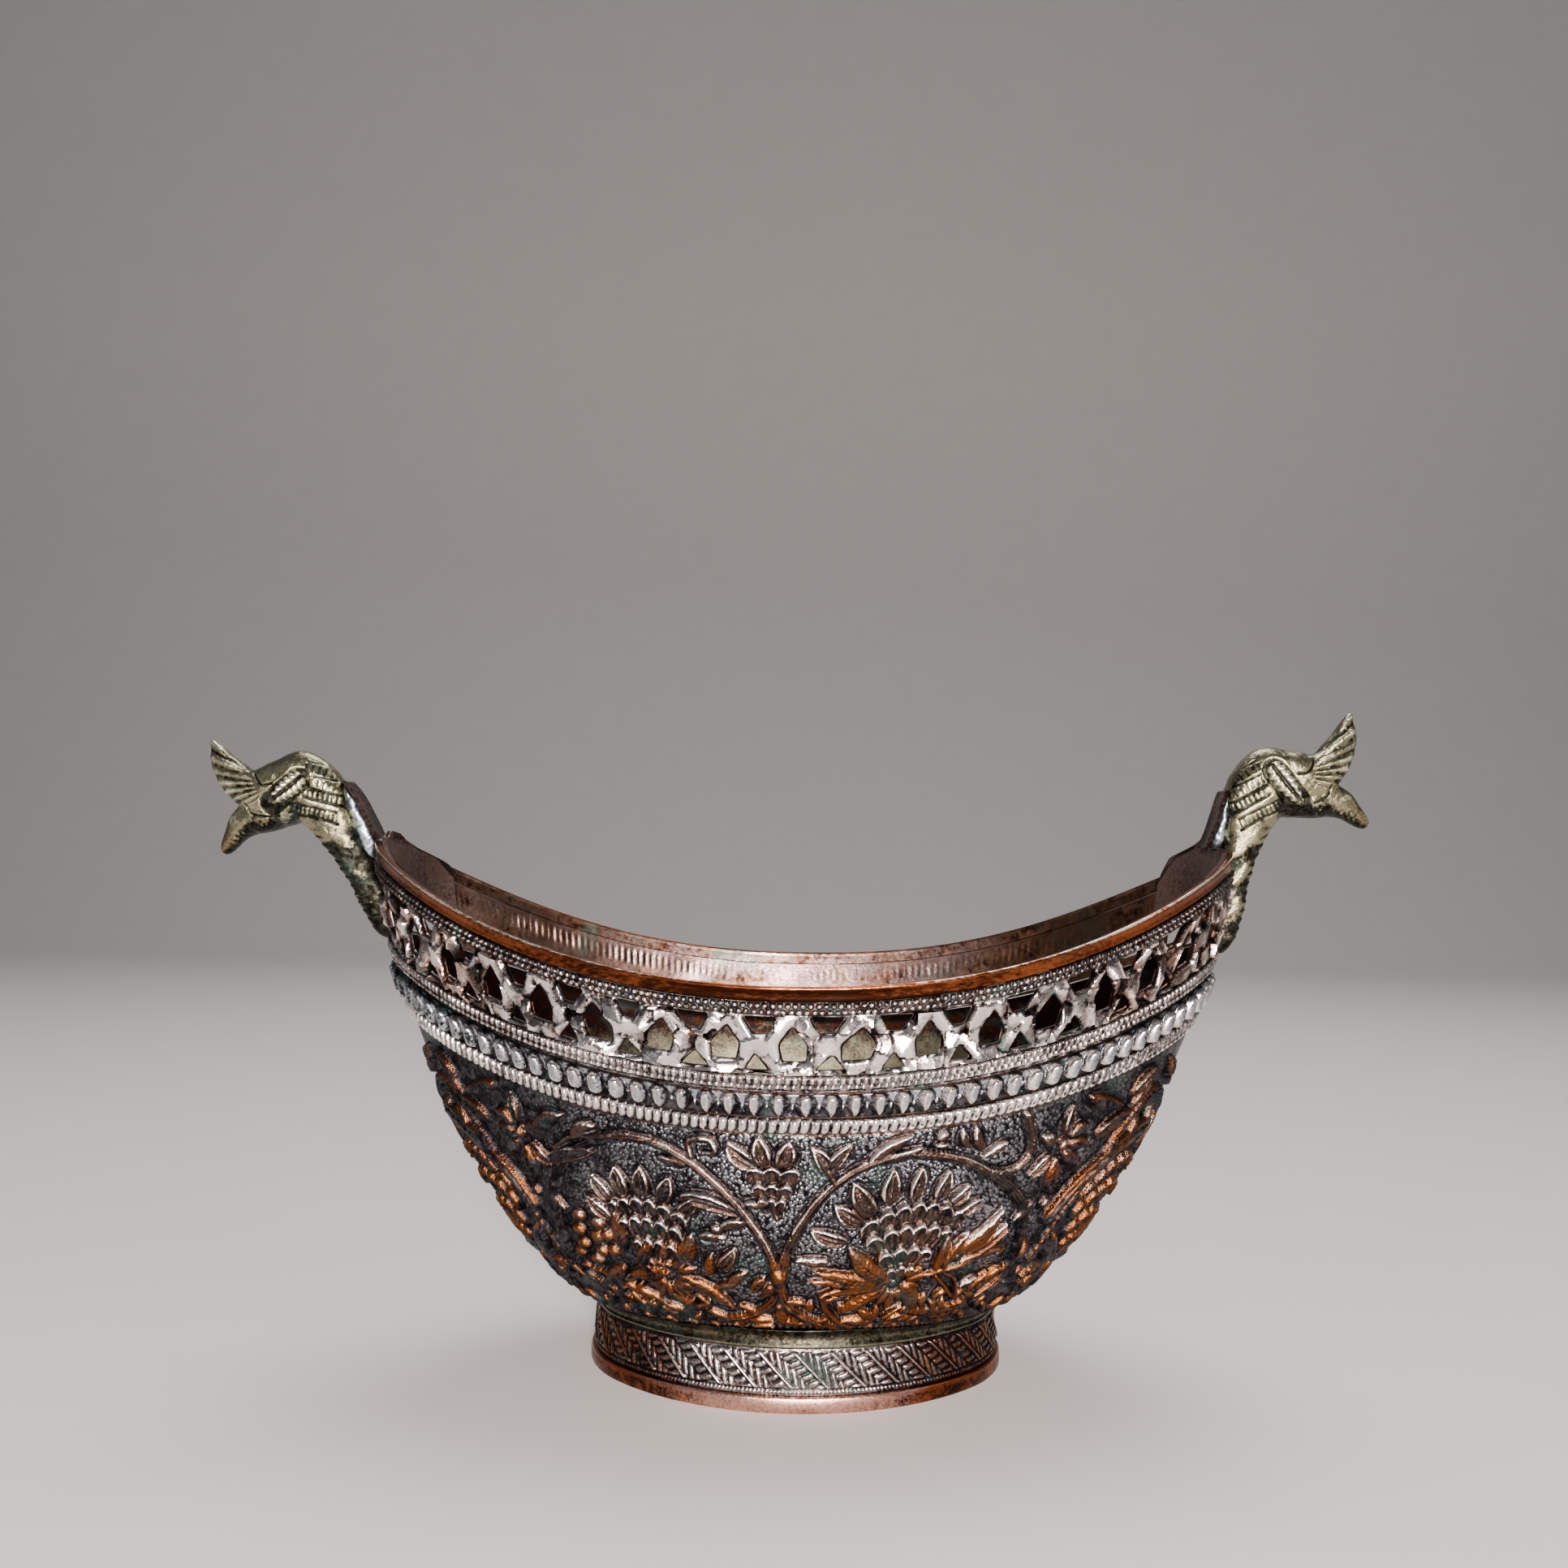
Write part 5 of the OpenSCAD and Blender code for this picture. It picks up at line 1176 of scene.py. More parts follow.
# Radius and centre of the oval's long sides, and the direction in which they meet its ends
SIDE_R = ((OVAL_A - OVAL_R) ** 2 + OVAL_B**2 - OVAL_R**2) / (2 * (OVAL_B - OVAL_R))
SIDE_Y = SIDE_R - OVAL_B
MEET = math.atan2(SIDE_Y, OVAL_A - OVAL_R)


def oval(f, d):
    """Spot of the foot's four-centred oval at one direction of its normal, moved out by d."""
    c, s = np.cos(f), np.sin(f)
    end = np.abs(np.sin(f)) <= math.sin(MEET)
    x = np.where(end, np.sign(c) * (OVAL_A - OVAL_R) + (OVAL_R + d) * c, (SIDE_R + d) * c)
    y = np.where(end, (OVAL_R + d) * s, (SIDE_R + d) * s - np.sign(s) * SIDE_Y)
    return x, y


def oval_turns(cols):
    """Equal steps round the foot, starting at its back."""
    f = np.linspace(0, 2 * np.pi, 2881) + math.pi / 2
    x, y = oval(f, 0 * f)
    run = np.concatenate([[0], np.cumsum(np.hypot(np.diff(x), np.diff(y)))])
    steps = np.linspace(0, run[-1], cols + 1)
    turns = np.interp(steps, run, f)
    turns[-1] = turns[0]
    return turns, steps, run[-1]


def foot_ring():
    """Flared band chased with slanting veined leaves over a row of ticks."""
    cols, rows = 1200, 44
    f, steps, around = oval_turns(cols)
    zz = np.linspace(FLANGE_H + SEAM, FOOT_H, rows + 1)
    steps[-1] = 0
    run, z = np.meshgrid(steps, zz)
    ff = np.repeat(f[None], rows + 1, 0)
    pitch = around / LEAF_N
    a = (run - 0.95 * (FOOT_H - z)) / pitch
    i = np.floor(a) % LEAF_N
    g = a - np.floor(a) - 0.5 + 0.1 * (scatter(i, 3) - 0.5)
    x = g * pitch
    body = 0.45 * round_top((np.abs(x) / (pitch * 0.5)) ** 4)
    stalk = 0.35 * bell(x, 0.32) - 0.3 * bell(np.abs(x) - 0.72, 0.22)
    # Upright barbs to the right of each spine, flatter ones to the left
    barb = np.where(x > 0, 0.5 + 0.5 * np.cos(2 * np.pi * (run / 1.5 + 0.12 * z + scatter(i, 8))),
                    0.5 + 0.5 * np.cos(2 * np.pi * (z / 1.5 - 0.2 * x + scatter(i, 5))))
    vein = -0.42 * barb**2.2
    leaf_zone = ease(z, 5.3, 6.0) * ease(14.2 - z, 0, 0.6)
    tick = 0.5 + 0.5 * np.cos(2 * np.pi * run / (around / TICK_N))
    ticks = 0.3 * bell(z - 4.8, 0.42) * tick
    groove = -0.22 * bell(z - 5.4, 0.16)
    veins = vein * ease(np.abs(x), 0.6, 0.95) * ease(body, 0.1, 0.3)
    high = leaf_zone * (body + stalk + veins) + ticks + groove - 0.28
    d = BAND_FLARE * (FOOT_H - z) / (FOOT_H - FLANGE_H - SEAM) + high
    px, py = oval(ff, d)
    front = np.stack([px, py, z], -1)
    # Inner edge of the band at its top and at its bottom
    edges = ((-FOOT_T, FOOT_H), (BAND_FLARE - FOOT_T, FLANGE_H + SEAM))
    back = np.array([np.stack([*oval(f, out), np.full(f.shape, up)], -1) for out, up in edges])
    rub_and_shade = np.clip(0.47 + 1.1 * (high - blur(high, 3)), 0, 1)
    flat = np.full(back.shape[:2], 0.4)
    # Painted shade: the band is darker toward the ends of the oval, which also show more copper
    rub_and_shade = rub_and_shade - 0.24 * ease(np.abs(px), 14, 36)
    worn = 0.1 + 0.7 * ease(np.abs(px), 14, 38)
    notes = {"rub_and_shade": np.concatenate([rub_and_shade, flat]), "worn": np.concatenate([worn, flat])}
    return wrap_loop(np.concatenate([front, back]), notes)


def foot_profile(section, cols):
    """Directions round the foot and both columns of a ring's section, spread over one grid."""
    d, z = np.array(section).T
    ff, dd = np.meshgrid(oval_turns(cols)[0], d)
    return ff, dd, np.repeat(z[:, None], cols + 1, 1)


def foot_flange():
    """Plain flange that the bowl stands on, a little uneven by hand."""
    # Distance out from the oval and height: along the base, up the rounded edge and back
    section = [
        (-FOOT_T, 0), (0.6, 0), (1.9, 0), (2.12, 0.1), (2.2, 0.3), (2.2, 1.4), (2.12, 2.4), (1.95, 3.3),
        (1.8, 3.66), (1.55, FLANGE_H), (0.4, FLANGE_H), (-FOOT_T, FLANGE_H), (-FOOT_T, 2),
    ]
    ff, dd, z = foot_profile(section, 420)
    x, y = oval(ff, dd)
    swell = 0.05 * wander(x, y, 9) * ((dd > 1) & (z > 0.2))
    x, y = oval(ff, dd + swell)
    rub_and_shade = 0.48 + 0.3 * ((dd > 1.5) & (z > 3.0))
    # Painted shade: darker toward the ends of the oval, which also show more copper
    notes = {"rub_and_shade": rub_and_shade - 0.3 * ease(np.abs(x), 12, 38), "worn": 0.2 + 0.8 * ease(np.abs(x), 14, 38)}
    return wrap_loop(np.stack([x, y, z], -1), notes)


def foot_collar():
    """Coved collar from the leaf band up to the seat of the bowl."""
    # Distance out from the oval and share of the collar's height
    section = [
        (0.05, 0.0), (0.1, 0.06), (-0.1, 0.2), (-0.38, 0.38), (-0.45, 0.55), (-0.36, 0.74), (-0.12, 0.9),
        (0.0, 1.0), (-1.0, 1.0), (-1.0, 0.0),
    ]
    ff, dd, share = foot_profile(section, 360)
    x, y = oval(ff, dd)
    _, mid_y = oval(ff, 0 * ff)
    low = FOOT_H + SEAM
    high = SEAT_END + (SEAT_MID - SEAT_END) * np.minimum(1, (mid_y / SEAT_B) ** 2) - SEAM
    z = low + (high - low) * share
    spots = np.stack([x, y, z + 0.04 * wander(x, y, 6) * (share > 0.1)], -1)
    # Painted shade: the collar is kept dark, as in the shadow of the wall above it, with lighter bands at its
    # foot and along the middle of its cove
    rub_and_shade = 0.12 + 0.5 * bell(share - 0.05, 0.06) + 0.22 * bell(share - 0.5, 0.18)
    return wrap_loop(spots, {"rub_and_shade": rub_and_shade, "worn": 0.4 * share})


# Finishes

def linear(code):
    """sRGB hex value to the linear colour that the shaders take."""
    parts = [int(code[i:i + 2], 16) / 255 for i in (0, 2, 4)]
    return [p / 12.92 if p <= 0.04045 else ((p + 0.055) / 1.055) ** 2.4 for p in parts]


def add(tree, kind, inputs=None, out=0, **settings):
    """Adds one shader node with its settings and gives one of its outputs.

    inputs are values or sockets to link.
    """
    made = tree.nodes.new("ShaderNode" + kind)
    for key, value in settings.items():
        setattr(made, key, value)
    for key, value in (inputs or {}).items():
        if isinstance(value, bpy.types.NodeSocket):
            tree.links.new(value, made.inputs[key])
        else:
            made.inputs[key].default_value = value
    return made.outputs[out]


def per(size_mm):
    """Texture scale at which one cell is the given size."""
    return 1 / (size_mm * MM)


def rgba(colour):
    """Colour with full cover."""
    return (*colour, 1.0)


# Grain of the metal and punch marks of the stippled ground, in millimetres
GRIT, PUNCH = 0.25, 0.85


def worn_metal(name, dark, body, edge, bare_body, bare_edge, glow, stain, ground=None, bare=0.0,
               rough=(0.24, 0.46), blotch=6.0, speck=0.7, steps=(0.24, 0.44, 0.6, 0.86), stained=0.4,
               depth=0.15, mottle=0.9, stretch=(1.0, 1.0, 1.0)):
    """Metal that is dark in its hollows, dull on its faces and rubbed bright on its edges, with painted
    highlights and shade laid over the same rub.

    body and edge are the plated tones, bare_body and bare_edge the metal where the plating has gone, dark and
    glow the two tones of the patina, stain the green bloom and ground the stippled field between the motifs.
    steps are the rubs where a face and then an edge begins and is full, rough the shine of faces and hollows,
    blotch and speck the millimetres of the patches and of the mottling.
    """
    finish = bpy.data.materials.new(name)
    finish.use_nodes = True
    tree = finish.node_tree
    shader = tree.nodes["Principled BSDF"]
    shader.inputs["Metallic"].default_value = 1.0
    place = add(tree, "TexCoord", out="Object")
    place = add(tree, "Mapping", {"Vector": place, "Scale": stretch})
    rub_and_shade = add(tree, "Attribute", out="Fac", attribute_name="rub_and_shade")
    worn = add(tree, "Attribute", out="Fac", attribute_name="worn")
    cloud = add(tree, "TexNoise", {"Vector": place, "Scale": per(blotch), "Detail": 4.0, "Roughness": 0.6})
    dust = add(tree, "TexNoise", {"Vector": place, "Scale": per(speck), "Detail": 3.0, "Roughness": 0.65})
    tint = add(
        tree, "TexNoise", {"Vector": place, "Scale": per(blotch * 0.45), "Detail": 5.0, "Distortion": 1.2})
    rubbed = add(tree, "Math", {0: cloud, 1: 0.6, 2: rub_and_shade}, operation="MULTIPLY_ADD")
    rubbed = add(tree, "Math", {0: dust, 1: mottle, 2: rubbed}, operation="MULTIPLY_ADD")
    rise = 0.3 + 0.5 * mottle
    face, top = (
        add(tree, "MapRange", {"Value": rubbed, "From Min": low + rise, "From Max": high + rise},
            interpolation_type="SMOOTHSTEP")
        for low, high in (steps[:2], steps[2:]))
    shown = add(tree, "Math", {0: cloud, 1: 1.1, 2: worn}, operation="MULTIPLY_ADD")
    shown = add(tree, "MapRange", {"Value": shown, "From Min": 0.9 - bare, "From Max": 1.5 - bare})
    face_tone = add(tree, "Mix", {0: shown, 6: rgba(body), 7: rgba(bare_body)}, out=2, data_type="RGBA")
    edge_tone = add(tree, "Mix", {0: shown, 6: rgba(edge), 7: rgba(bare_edge)}, out=2, data_type="RGBA")
    patch = add(tree, "MapRange", {"Value": tint, "From Min": 0.42, "From Max": 0.66})
    hollow = add(tree, "Mix", {0: patch, 6: rgba(dark), 7: rgba(glow)}, out=2, data_type="RGBA")
    fine = add(tree, "TexNoise", {"Vector": place, "Scale": per(GRIT), "Detail": 3.0})
    grain = add(tree, "Math", {0: dust, 1: 1.5, 2: fine}, operation="MULTIPLY_ADD")
    if ground is not None:
        open_ground = add(tree, "Attribute", out="Fac", attribute_name="ground")
        dots = add(tree, "TexVoronoi", {"Vector": place, "Scale": per(PUNCH)})
        pale = add(tree, "MapRange", {"Value": dots, "From Min": 0.72, "From Max": 0.4})
        cell = dots.node.outputs["Color"]
        lucky = add(tree, "MapRange", {"Value": cell, "From Min": 0.62, "From Max": 0.72})
        lucky = add(tree, "Math", {0: lucky, 1: patch}, operation="MULTIPLY")
        field = add(tree, "Mix", {0: lucky, 6: rgba(ground), 7: rgba(glow)}, out=2, data_type="RGBA")
        field = add(tree, "Mix", {0: pale, 6: rgba(dark), 7: field}, out=2, data_type="RGBA")
        face_tone = add(tree, "Mix", {0: open_ground, 6: face_tone, 7: field}, out=2, data_type="RGBA")
        raised = add(tree, "Math", {0: pale, 1: open_ground}, operation="MULTIPLY")
        grain = add(tree, "Math", {0: raised, 1: 3.0, 2: grain}, operation="MULTIPLY_ADD")
    base = add(tree, "Mix", {0: face, 6: hollow, 7: face_tone}, out=2, data_type="RGBA")
    base = add(tree, "Mix", {0: top, 6: base, 7: edge_tone}, out=2, data_type="RGBA")
    bloom = add(
        tree, "TexNoise", {"Vector": place, "Scale": per(blotch * 1.7), "Detail": 6.0, "Distortion": 0.6})
    bloom = add(tree, "MapRange", {"Value": bloom, "From Min": 0.56, "From Max": 0.74, "To Max": stained})
    away = add(tree, "Math", {0: 1.0, 1: top}, operation="SUBTRACT")
    bloom = add(tree, "Math", {0: bloom, 1: away}, operation="MULTIPLY")
    base = add(tree, "Mix", {0: bloom, 6: base, 7: rgba(stain)}, out=2, data_type="RGBA")
    shine = add(tree, "MapRange", {"Value": face, "To Min": rough[1], "To Max": rough[0]})
    shine = add(tree, "Math", {0: dust, 1: 0.2, 2: shine}, operation="MULTIPLY_ADD")
    shine = add(tree, "Math", {0: shine, 1: 0.1}, operation="SUBTRACT")
    bump = add(tree, "Bump", {"Height": grain, "Strength": depth, "Distance": 0.3 * MM})
    for key, value in (("Base Color", base), ("Roughness", shine), ("Normal", bump)):
        tree.links.new(value, shader.inputs[key])
    return finish


# Properties and operators

class KashkulSizes(bpy.types.PropertyGroup):
    """Sizes of the stage"""

    camera_distance: FloatProperty(
        name="Camera distance", description="From the middle of the bowl", default=0.3175, unit="LENGTH")
    floor_size: FloatProperty(name="Floor", description="Half size of the floor", default=2.5, unit="LENGTH")


def colour(label, note, code):
    """One colour property from its hex value."""
    return FloatVectorProperty(
        name=label, description=note, default=linear(code), size=3, min=0, max=1, subtype="COLOR")


class KashkulColours(bpy.types.PropertyGroup):
    """Colours of the metals and their patina"""

    tin_edge: colour("Bright tin", "Rubbed tin on the edges", "efe4df")
    tin_body: colour("Tin", "Dull tin on the faces", "857b78")
    tin_dark: colour("Patina", "Blue-black patina in the hollows", "14151a")
    violet: colour("Violet", "Grey-violet bloom on the patina", "49474a")
    field_ground: colour("Ground", "Stippled ground of the chased field", "838489")
    field_body: colour("Motifs", "Dark tinned faces of the leaves", "513c32")
    copper_body: colour("Copper", "Bare copper where the tin has gone", "74421f")
    copper_edge: colour("Bright copper", "Rubbed copper on the edges", "a46c40")
    steel: colour("Steel blue", "Blue-grey tin of the bosses", "a0a3aa")
    verdigris: colour("Verdigris", "Green bloom", "4f6f66")
    rim: colour("Rim", "Orange-brown copper of the rim", "8b4a29")
    rim_dark: colour("Dark rim", "Oxide on the rim", "2c150b")
    rim_edge: colour("Lip", "Rubbed lip of the rim", "f2dccb")
    lining: colour("Inside", "Satin inside of the wall", "9a837d")
    inside_brown: colour("Brown inside", "Brown of the inside toward the ends", "775844")
    olive: colour("Olive", "Olive-grey tin low inside the bowl", "77745f")
    pink: colour("Pink copper", "Bare copper of the flange", "cf9f8e")
    brass: colour("Brass", "Cast brass of the heads", "918b6e")
    brass_edge: colour("Bright brass", "Rubbed edges of the heads", "e6dfc2")
    brass_dark: colour("Dark brass", "Dark hollows of the heads", "16130d")
    brass_warm: colour("Warm brass", "Orange-brown spots on the brass", "6a5434")
    brass_grey: colour("Grey brass", "Greenish grey in the hollows of the heads", "3a3c34")
    solder: colour("Solder", "Grey-blue solder", "a3b2bd")
    floor: colour("Floor", "Pale studio floor", "d9d6d2")


def tinned_copper(c, name, body, glow, **look):
    """Worn tin over copper: body is its dull face, glow the second tone of the patina in its hollows."""
    return worn_metal(
        name, c.tin_dark, body, c.tin_edge, c.copper_body, c.copper_edge, glow, c.verdigris, **look)


def inside_finish(c):
    """Satin inside of the wall: pinkish tin over beaten copper, smooth enough to hold one broad highlight."""
    return bpy.data.materials.get("satin_tinned_inside") or worn_metal(
        "satin_tinned_inside", c.rim_dark, c.lining, c.tin_edge, c.inside_brown, c.copper_edge,
        c.inside_brown, c.verdigris, rough=(0.22, 0.36), blotch=8.0, speck=1.2, steps=(0.2, 0.74, 0.8, 1.1),
        stained=0.6)


class KASHKUL_OT_hull(bpy.types.Operator):
    """Raised hull: four chased quarters and the pan"""

    bl_idname = "kashkul.hull"
    bl_label = "Hull"

    def execute(self, context):
        c = context.scene.kashkul_colours
        # Raised copper sheet, tinned and chased: dark leaves with rubbed edges on a stippled grey ground
        chased = tinned_copper(
            c, "chased_tinned_copper", c.field_body, c.violet, ground=c.field_ground, depth=0.4,
            steps=(0.26, 0.5, 0.64, 0.92), rough=(0.2, 0.46), mottle=0.5)
        # Inside the hull, below the hand's reach: dull tin gone olive-grey, painted dark brown under the
        # gallery as shadow
        dim = worn_metal(
            "dull_tinned_inside", c.rim_dark, c.olive, c.brass, c.inside_brown, c.brass, c.tin_dark,
            c.verdigris, rough=(0.34, 0.5), blotch=5.0, steps=(0.16, 0.6, 0.8, 1.2), mottle=0.5)
        for side, across in SIDES:
            for end in HANDS:
                quarter = hull_shell(side, end == "right")
                set_down(quarter, f"hull_{across}_{end}", chased, "hull_copper", "bowl_hull", lining=dim)
        set_down(hull_pan(), "hull_pan", dim, "hull_copper", "bowl_hull")
        return {"FINISHED"}


class KASHKUL_OT_gallery(bpy.types.Operator):
    """Pierced gallery strips"""

    bl_idname = "kashkul.gallery"
    bl_label = "Pierced gallery"

    def execute(self, context):
        c = context.scene.kashkul_colours
        # Pierced and filed tinned sheet: bright pinkish facets, with painted shade on the chamfered cut edges
        pierced = tinned_copper(
            c, "pierced_tinned_copper", c.tin_body, c.rim_dark, blotch=4.0, steps=(0.2, 0.4, 0.46, 0.72),
            rough=(0.16, 0.4), mottle=0.6)
        satin = inside_finish(c)
        for side, across in SIDES:
            strip, node = gallery(side), f"gallery_{across}"
            set_down(strip, f"pierced_strip_{across}", pierced, "tinned_copper", node, lining=satin)
        return {"FINISHED"}


class KASHKUL_OT_borders(bpy.types.Operator):
    """Bead borders, ribbed wires, boss strips and rope wires"""

    bl_idname = "kashkul.borders"
    bl_label = "Borders"

    def execute(self, context):
        c = context.scene.kashkul_colours
        # Punched bead border: blue-grey patina with rubbed pinkish tips
        beaded = tinned_copper(
            c, "punched_bead_border", c.field_body, c.violet, steps=(0.3, 0.5, 0.56, 0.74))
        # Drawn wire, cut and tinned: close pale ribs with brown between
        wired = tinned_copper(
            c, "cut_tinned_wire", c.tin_body, c.rim_dark, steps=(0.2, 0.38, 0.44, 0.7))
        # Stamped bosses: steel-blue facets with painted light on their left flanks and painted shade in the
        # dark gaps
        stamped = tinned_copper(
            c, "stamped_boss_strip", c.steel, c.violet, rough=(0.18, 0.4), steps=(0.2, 0.4, 0.48, 0.78))
        # Twisted wire, tinned: pinkish-white strands over purple-black
        twisted = tinned_copper(
            c, "twisted_tinned_wire", c.tin_body, c.violet, steps=(0.2, 0.36, 0.38, 0.58))
        for side, across in SIDES:
            set_down(
                border_strip(side, S_BEAD, S_RIM, BEAD_TALL, 1180, 13, U_NECK, bead_relief),
                f"bead_rows_{across}", beaded, "tinned_copper", f"bead_border_{across}")
            set_down(
                border_strip(side, S_RIB, S_LATTICE, RIB_TALL, 1240, 14, U_KEEL, rib_relief),
                f"cut_wire_{across}", wired, "tinned_copper", f"ribbed_wire_{across}")
            set_down(
                border_strip(side, S_BOSS0, S_BOSS1, BOSS_TALL, 1100, 24, U_KEEL, boss_relief, 0.2, 0.3),
                f"bosses_{across}", stamped, "tinned_copper", f"boss_strip_{across}")
            set_down(
                border_strip(side, S_ROPE0, S_ROPE1, ROPE_TALL, 1100, 11, U_KEEL, rope_relief),
                f"twisted_wire_{across}", twisted, "tinned_copper", f"rope_wire_{across}")
        return {"FINISHED"}


class KASHKUL_OT_rim(bpy.types.Operator):
    """Plain copper rim bands"""

    bl_idname = "kashkul.rim"
    bl_label = "Rim bands"

    def execute(self, context):
        c = context.scene.kashkul_colours
        # Planished copper, oxidised in streaks along the band and rubbed bright on the lip
        planished = worn_metal(
            "planished_rim_copper", c.rim_dark, c.rim, c.rim_edge, c.rim, c.rim_edge, c.rim_dark, c.verdigris,
            rough=(0.22, 0.36), steps=(0.1, 0.55, 0.72, 0.95), stained=0.05, stretch=(0.25, 1.0, 1.0),
            blotch=4.0)
        satin = inside_finish(c)
        for side, across in SIDES:
            band, node = rim_band(side), f"rim_band_{across}"
            set_down(band, f"rim_strip_{across}", planished, "bare_copper", node, lining=satin)
        return {"FINISHED"}


class KASHKUL_OT_heads(bpy.types.Operator):
    """Cast dragon heads"""

    bl_idname = "kashkul.heads"
    bl_label = "Dragon heads"

    def execute(self, context):
        c = context.scene.kashkul_colours
        # Sand-cast brass, chased: greenish-grey skin, dark cuts, rubbed edges and warm brown spots
        cast = worn_metal(
            "cast_chased_brass", c.brass_dark, c.brass, c.brass_edge, c.brass_warm, c.brass_edge,
            c.brass_grey, c.verdigris, rough=(0.24, 0.42), blotch=5.0, steps=(0.2, 0.46, 0.56, 0.9),
            stained=0.25, depth=0.3, mottle=0.6)
        for hand in HANDS:
            set_down(dragon_head(hand), f"cast_head_{hand}", cast, "cast_brass", f"dragon_head_{hand}")
        return {"FINISHED"}


class KASHKUL_OT_stems(bpy.types.Operator):
    """Stem plates and solder beds"""

    bl_idname = "kashkul.stems"
    bl_label = "Stem plates and solder"

    def execute(self, context):
        c = context.scene.kashkul_colours
        # Beaten sheet: satin brown copper with some tin left
        beaten = worn_metal(
            "beaten_sheet", c.rim_dark, c.lining, c.tin_edge, c.inside_brown, c.copper_edge, c.rim_dark,
            c.verdigris, rough=(0.3, 0.42), blotch=5.0, steps=(0.1, 0.6, 0.7, 1.0), bare=0.2, stained=0.3)
        # Soft solder: dull blue-grey lumps
        soft = worn_metal(
            "soft_solder", c.tin_dark, c.solder, c.tin_edge, c.tin_body, c.tin_edge, c.steel, c.verdigris,
            rough=(0.34, 0.5), blotch=3.0)
        for hand in HANDS:
            set_down(stem_plate(hand), f"tongue_sheet_{hand}", beaten, "tinned_copper", f"stem_plate_{hand}")
            set_down(solder_bed(hand), f"solder_lump_{hand}", soft, "solder", f"solder_bed_{hand}")
        return {"FINISHED"}


class KASHKUL_OT_foot(bpy.types.Operator):
    """Foot: collar, leaf band and flange"""

    bl_idname = "kashkul.foot"
    bl_label = "Foot"

    def execute(self, context):
        c = context.scene.kashkul_colours
        # Chased leaf band: tin left on the ridges over brown copper
        banded = tinned_copper(
            c, "chased_leaf_band", c.tin_body, c.rim_dark, steps=(0.24, 0.46, 0.54, 0.8))
        # Bare rolled copper: plain pinkish brown with rubbed edges
        rolled = worn_metal(
            "rolled_bare_copper", c.rim_dark, c.pink, c.rim_edge, c.rim, c.copper_edge, c.rim, c.verdigris,
            rough=(0.26, 0.38), steps=(0.1, 0.6, 0.7, 1.0), stained=0.05, blotch=8.0)
        # Turned brass collar: dull olive brown, its cove painted dark as shadow
        turned = worn_metal(
            "turned_brass", c.brass_dark, c.olive, c.brass_edge, c.inside_brown, c.brass_edge, c.brass_grey,
            c.verdigris, rough=(0.2, 0.34), steps=(0.15, 0.6, 0.62, 1.0), bare=0.3, stained=0.35)
        set_down(foot_ring(), "leaf_band", banded, "hull_copper", "foot_ring")
        set_down(foot_flange(), "plain_flange", rolled, "bare_copper", "foot_flange")
        set_down(foot_collar(), "coved_collar", turned, "cast_brass", "foot_collar")
        return {"FINISHED"}


# Floor in metres: height of the wall it runs up into and the reach of the sweep between them
BACKDROP_H, SWEEP = 3.0, 1.2
# Disk lights: place, width, power and colour, all aimed at a spot above the foot
LIGHTS = (
    ("key", (0.1, -1.1, 0.36), 0.3, 34, "fff3ee"),
    ("fill_left", (-1.2, -0.3, 0.6), 0.7, 0.8, "eef3ff"),
    ("fill_right", (1.2, -0.4, 0.6), 0.7, 2.0, "fff2e6"),
    ("top", (0.1, 0.4, 1.3), 0.8, 12, "ffffff"),
)
LIGHT_AIM = (0, 0, 0.07)
# Camera as fitted to the photograph: lens and sensor in millimetres, shift, and its turns in degrees
LENS, SENSOR, SHIFT = 29.73, 36.0, (-0.0091, 0.2133)
AZIMUTH, ELEVATION, ROLL = (math.radians(a) for a in (1.295, 10.98, 0.80))
CAMERA_AIM = (0, 0, 0.06)


def studio_floor(size, tone):
    """Pale floor that sweeps up into a wall behind the bowl."""
    bm = bmesh.new()
    bmesh.ops.create_grid(bm, x_segments=1, y_segments=1, size=size)
    far = [e for e in bm.edges if all(v.co.y > size - 1e-4 for v in e.verts)]
    grown = bmesh.ops.extrude_edge_only(bm, edges=far)["geom"]
    raised = [g for g in grown if isinstance(g, bmesh.types.BMVert)]
    bmesh.ops.translate(bm, verts=raised, vec=(0, 0, BACKDROP_H))
    bmesh.ops.bevel(bm, geom=far, offset=SWEEP, segments=16, profile=0.5, affect="EDGES", material=-1)
    bmesh.ops.recalc_face_normals(bm, faces=bm.faces)
    for face in bm.faces:
        face.smooth = True
    mesh = bpy.data.meshes.new("studio_floor")
    bm.to_mesh(mesh)
    bm.free()
    # Matt paper: even and pale, with a faint mottle so that it doesn't look empty
    paper = bpy.data.materials.new("matt_paper")
    paper.use_nodes = True
    tree = paper.node_tree
    shader = tree.nodes["Principled BSDF"]
    shader.inputs["Roughness"].default_value = 0.85
    place = add(tree, "TexCoord", out="Object")
    fleck = add(tree, "TexNoise", {"Vector": place, "Scale": per(40.0), "Detail": 3.0})
    shade = add(tree, "MapRange", {"Value": fleck, "To Min": 0.97, "To Max": 1.03})
    mottled = add(tree, "HueSaturation", {"Value": shade, "Color": rgba(tone)})
    tree.links.new(mottled, shader.inputs["Base Color"])
    mesh.materials.append(paper)
    floor = bpy.data.objects.new("studio_floor", mesh)
    bpy.context.scene.collection.objects.link(floor)


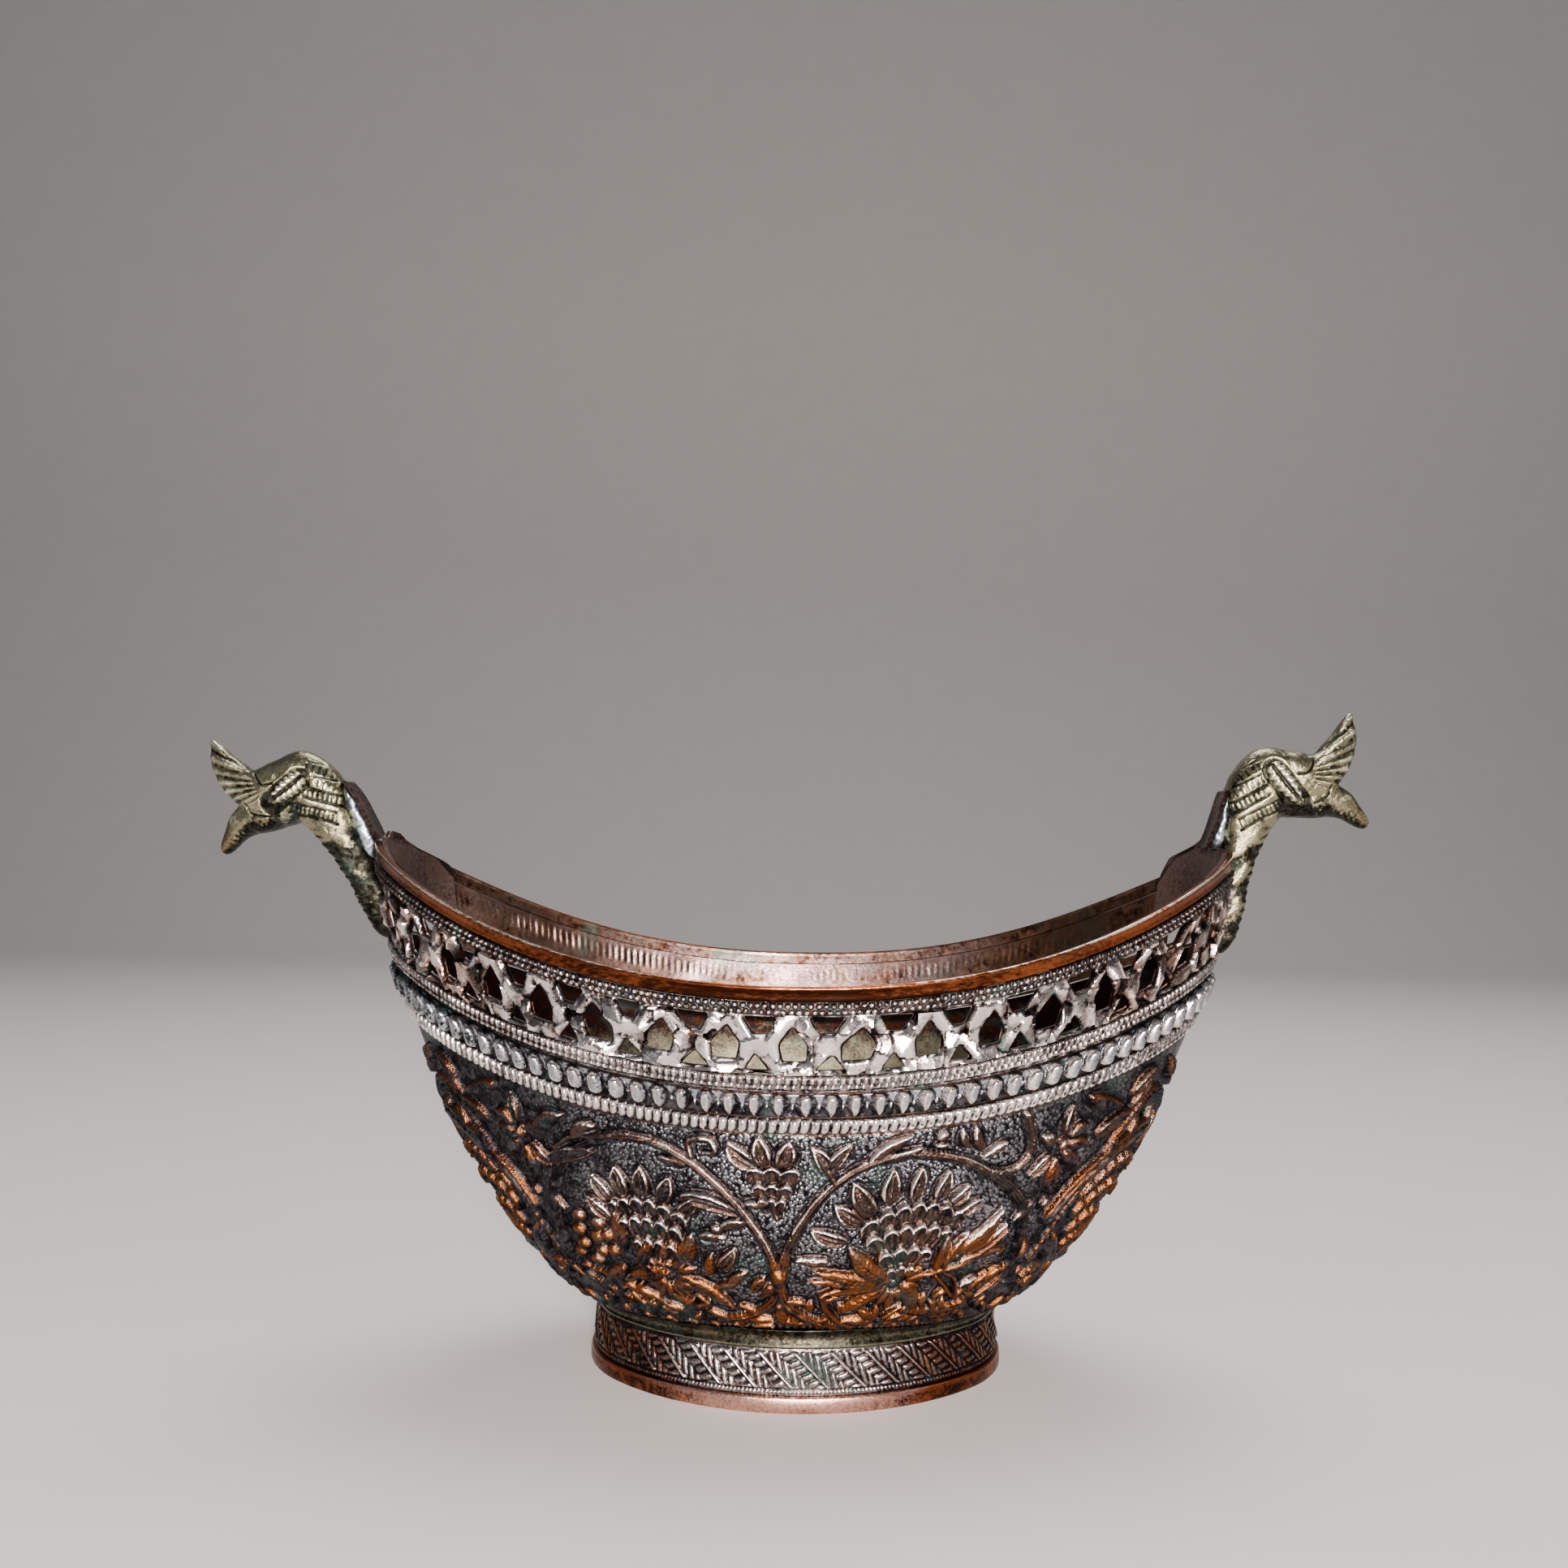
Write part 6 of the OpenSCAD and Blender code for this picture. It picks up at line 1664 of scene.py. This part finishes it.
def studio_lights(scene):
    """Weak cool sky, the key light beside the camera and soft fills."""
    sky = bpy.data.worlds.new("studio")
    sky.use_nodes = True
    sky.node_tree.nodes["Background"].inputs["Color"].default_value = (0.9, 0.95, 1.0, 1)
    sky.node_tree.nodes["Background"].inputs["Strength"].default_value = 0.16
    scene.world = sky
    for name, spot, size, power, tint in LIGHTS:
        lamp = bpy.data.lights.new(name, "AREA")
        lamp.shape, lamp.size, lamp.energy, lamp.color = "DISK", size, power, linear(tint)
        holder = bpy.data.objects.new(name, lamp)
        holder.location = spot
        holder.rotation_euler = (Vector(LIGHT_AIM) - Vector(spot)).to_track_quat("-Z", "Y").to_euler()
        scene.collection.objects.link(holder)


def photograph_camera(scene, distance):
    """Camera that sees the bowl as the photograph does."""
    lens = bpy.data.cameras.new("photograph")
    lens.lens, lens.sensor_width, lens.sensor_fit = LENS, SENSOR, "HORIZONTAL"
    lens.shift_x, lens.shift_y = SHIFT
    lens.clip_start = 0.01
    level = math.cos(ELEVATION)
    back = Vector((math.sin(AZIMUTH) * level, -math.cos(AZIMUTH) * level, math.sin(ELEVATION)))
    right = (-back).cross(Vector((0, 0, 1))).normalized()
    up = right.cross(-back)
    c, s = math.cos(ROLL), math.sin(ROLL)
    right, up = right * c + up * s, up * c - right * s
    turned = Matrix((right, up, back)).transposed().to_4x4()
    camera = bpy.data.objects.new("photograph", lens)
    camera.matrix_world = Matrix.Translation(Vector(CAMERA_AIM) + back * distance) @ turned
    scene.collection.objects.link(camera)
    scene.camera = camera


class KASHKUL_OT_stage(bpy.types.Operator):
    """Floor, soft lights and camera"""

    bl_idname = "kashkul.stage"
    bl_label = "Stage"

    def execute(self, context):
        scene = context.scene
        studio_floor(scene.kashkul_sizes.floor_size, scene.kashkul_colours.floor)
        studio_lights(scene)
        photograph_camera(scene, scene.kashkul_sizes.camera_distance)
        return {"FINISHED"}


class KASHKUL_PT_panel(bpy.types.Panel):
    """Pieces of the bowl"""

    bl_idname = "KASHKUL_PT_panel"
    bl_label = "Kashkul"
    bl_space_type = "VIEW_3D"
    bl_region_type = "UI"
    bl_category = "Kashkul"

    def draw(self, context):
        for made in PIECES:
            self.layout.operator(made.bl_idname)
        for group in (context.scene.kashkul_sizes, context.scene.kashkul_colours):
            box = self.layout.box()
            for key in group.__annotations__:
                box.prop(group, key)


PIECES = (
    KASHKUL_OT_hull, KASHKUL_OT_gallery, KASHKUL_OT_borders, KASHKUL_OT_rim, KASHKUL_OT_heads,
    KASHKUL_OT_stems, KASHKUL_OT_foot, KASHKUL_OT_stage,
)
CLASSES = (KashkulSizes, KashkulColours, *PIECES, KASHKUL_PT_panel)


def register():
    """Adds the classes and the two groups of properties."""
    for made in CLASSES:
        bpy.utils.register_class(made)
    bpy.types.Scene.kashkul_sizes = PointerProperty(type=KashkulSizes)
    bpy.types.Scene.kashkul_colours = PointerProperty(type=KashkulColours)


def unregister():
    """Takes away what register added."""
    del bpy.types.Scene.kashkul_colours
    del bpy.types.Scene.kashkul_sizes
    for made in reversed(CLASSES):
        bpy.utils.unregister_class(made)


def main():
    """Builds the bowl and its stage."""
    register()
    bpy.ops.kashkul.hull()
    bpy.ops.kashkul.gallery()
    bpy.ops.kashkul.borders()
    bpy.ops.kashkul.rim()
    bpy.ops.kashkul.heads()
    bpy.ops.kashkul.stems()
    bpy.ops.kashkul.foot()
    bpy.ops.kashkul.stage()
    bpy.context.view_layer.update()


if __name__ == "__main__":
    main()
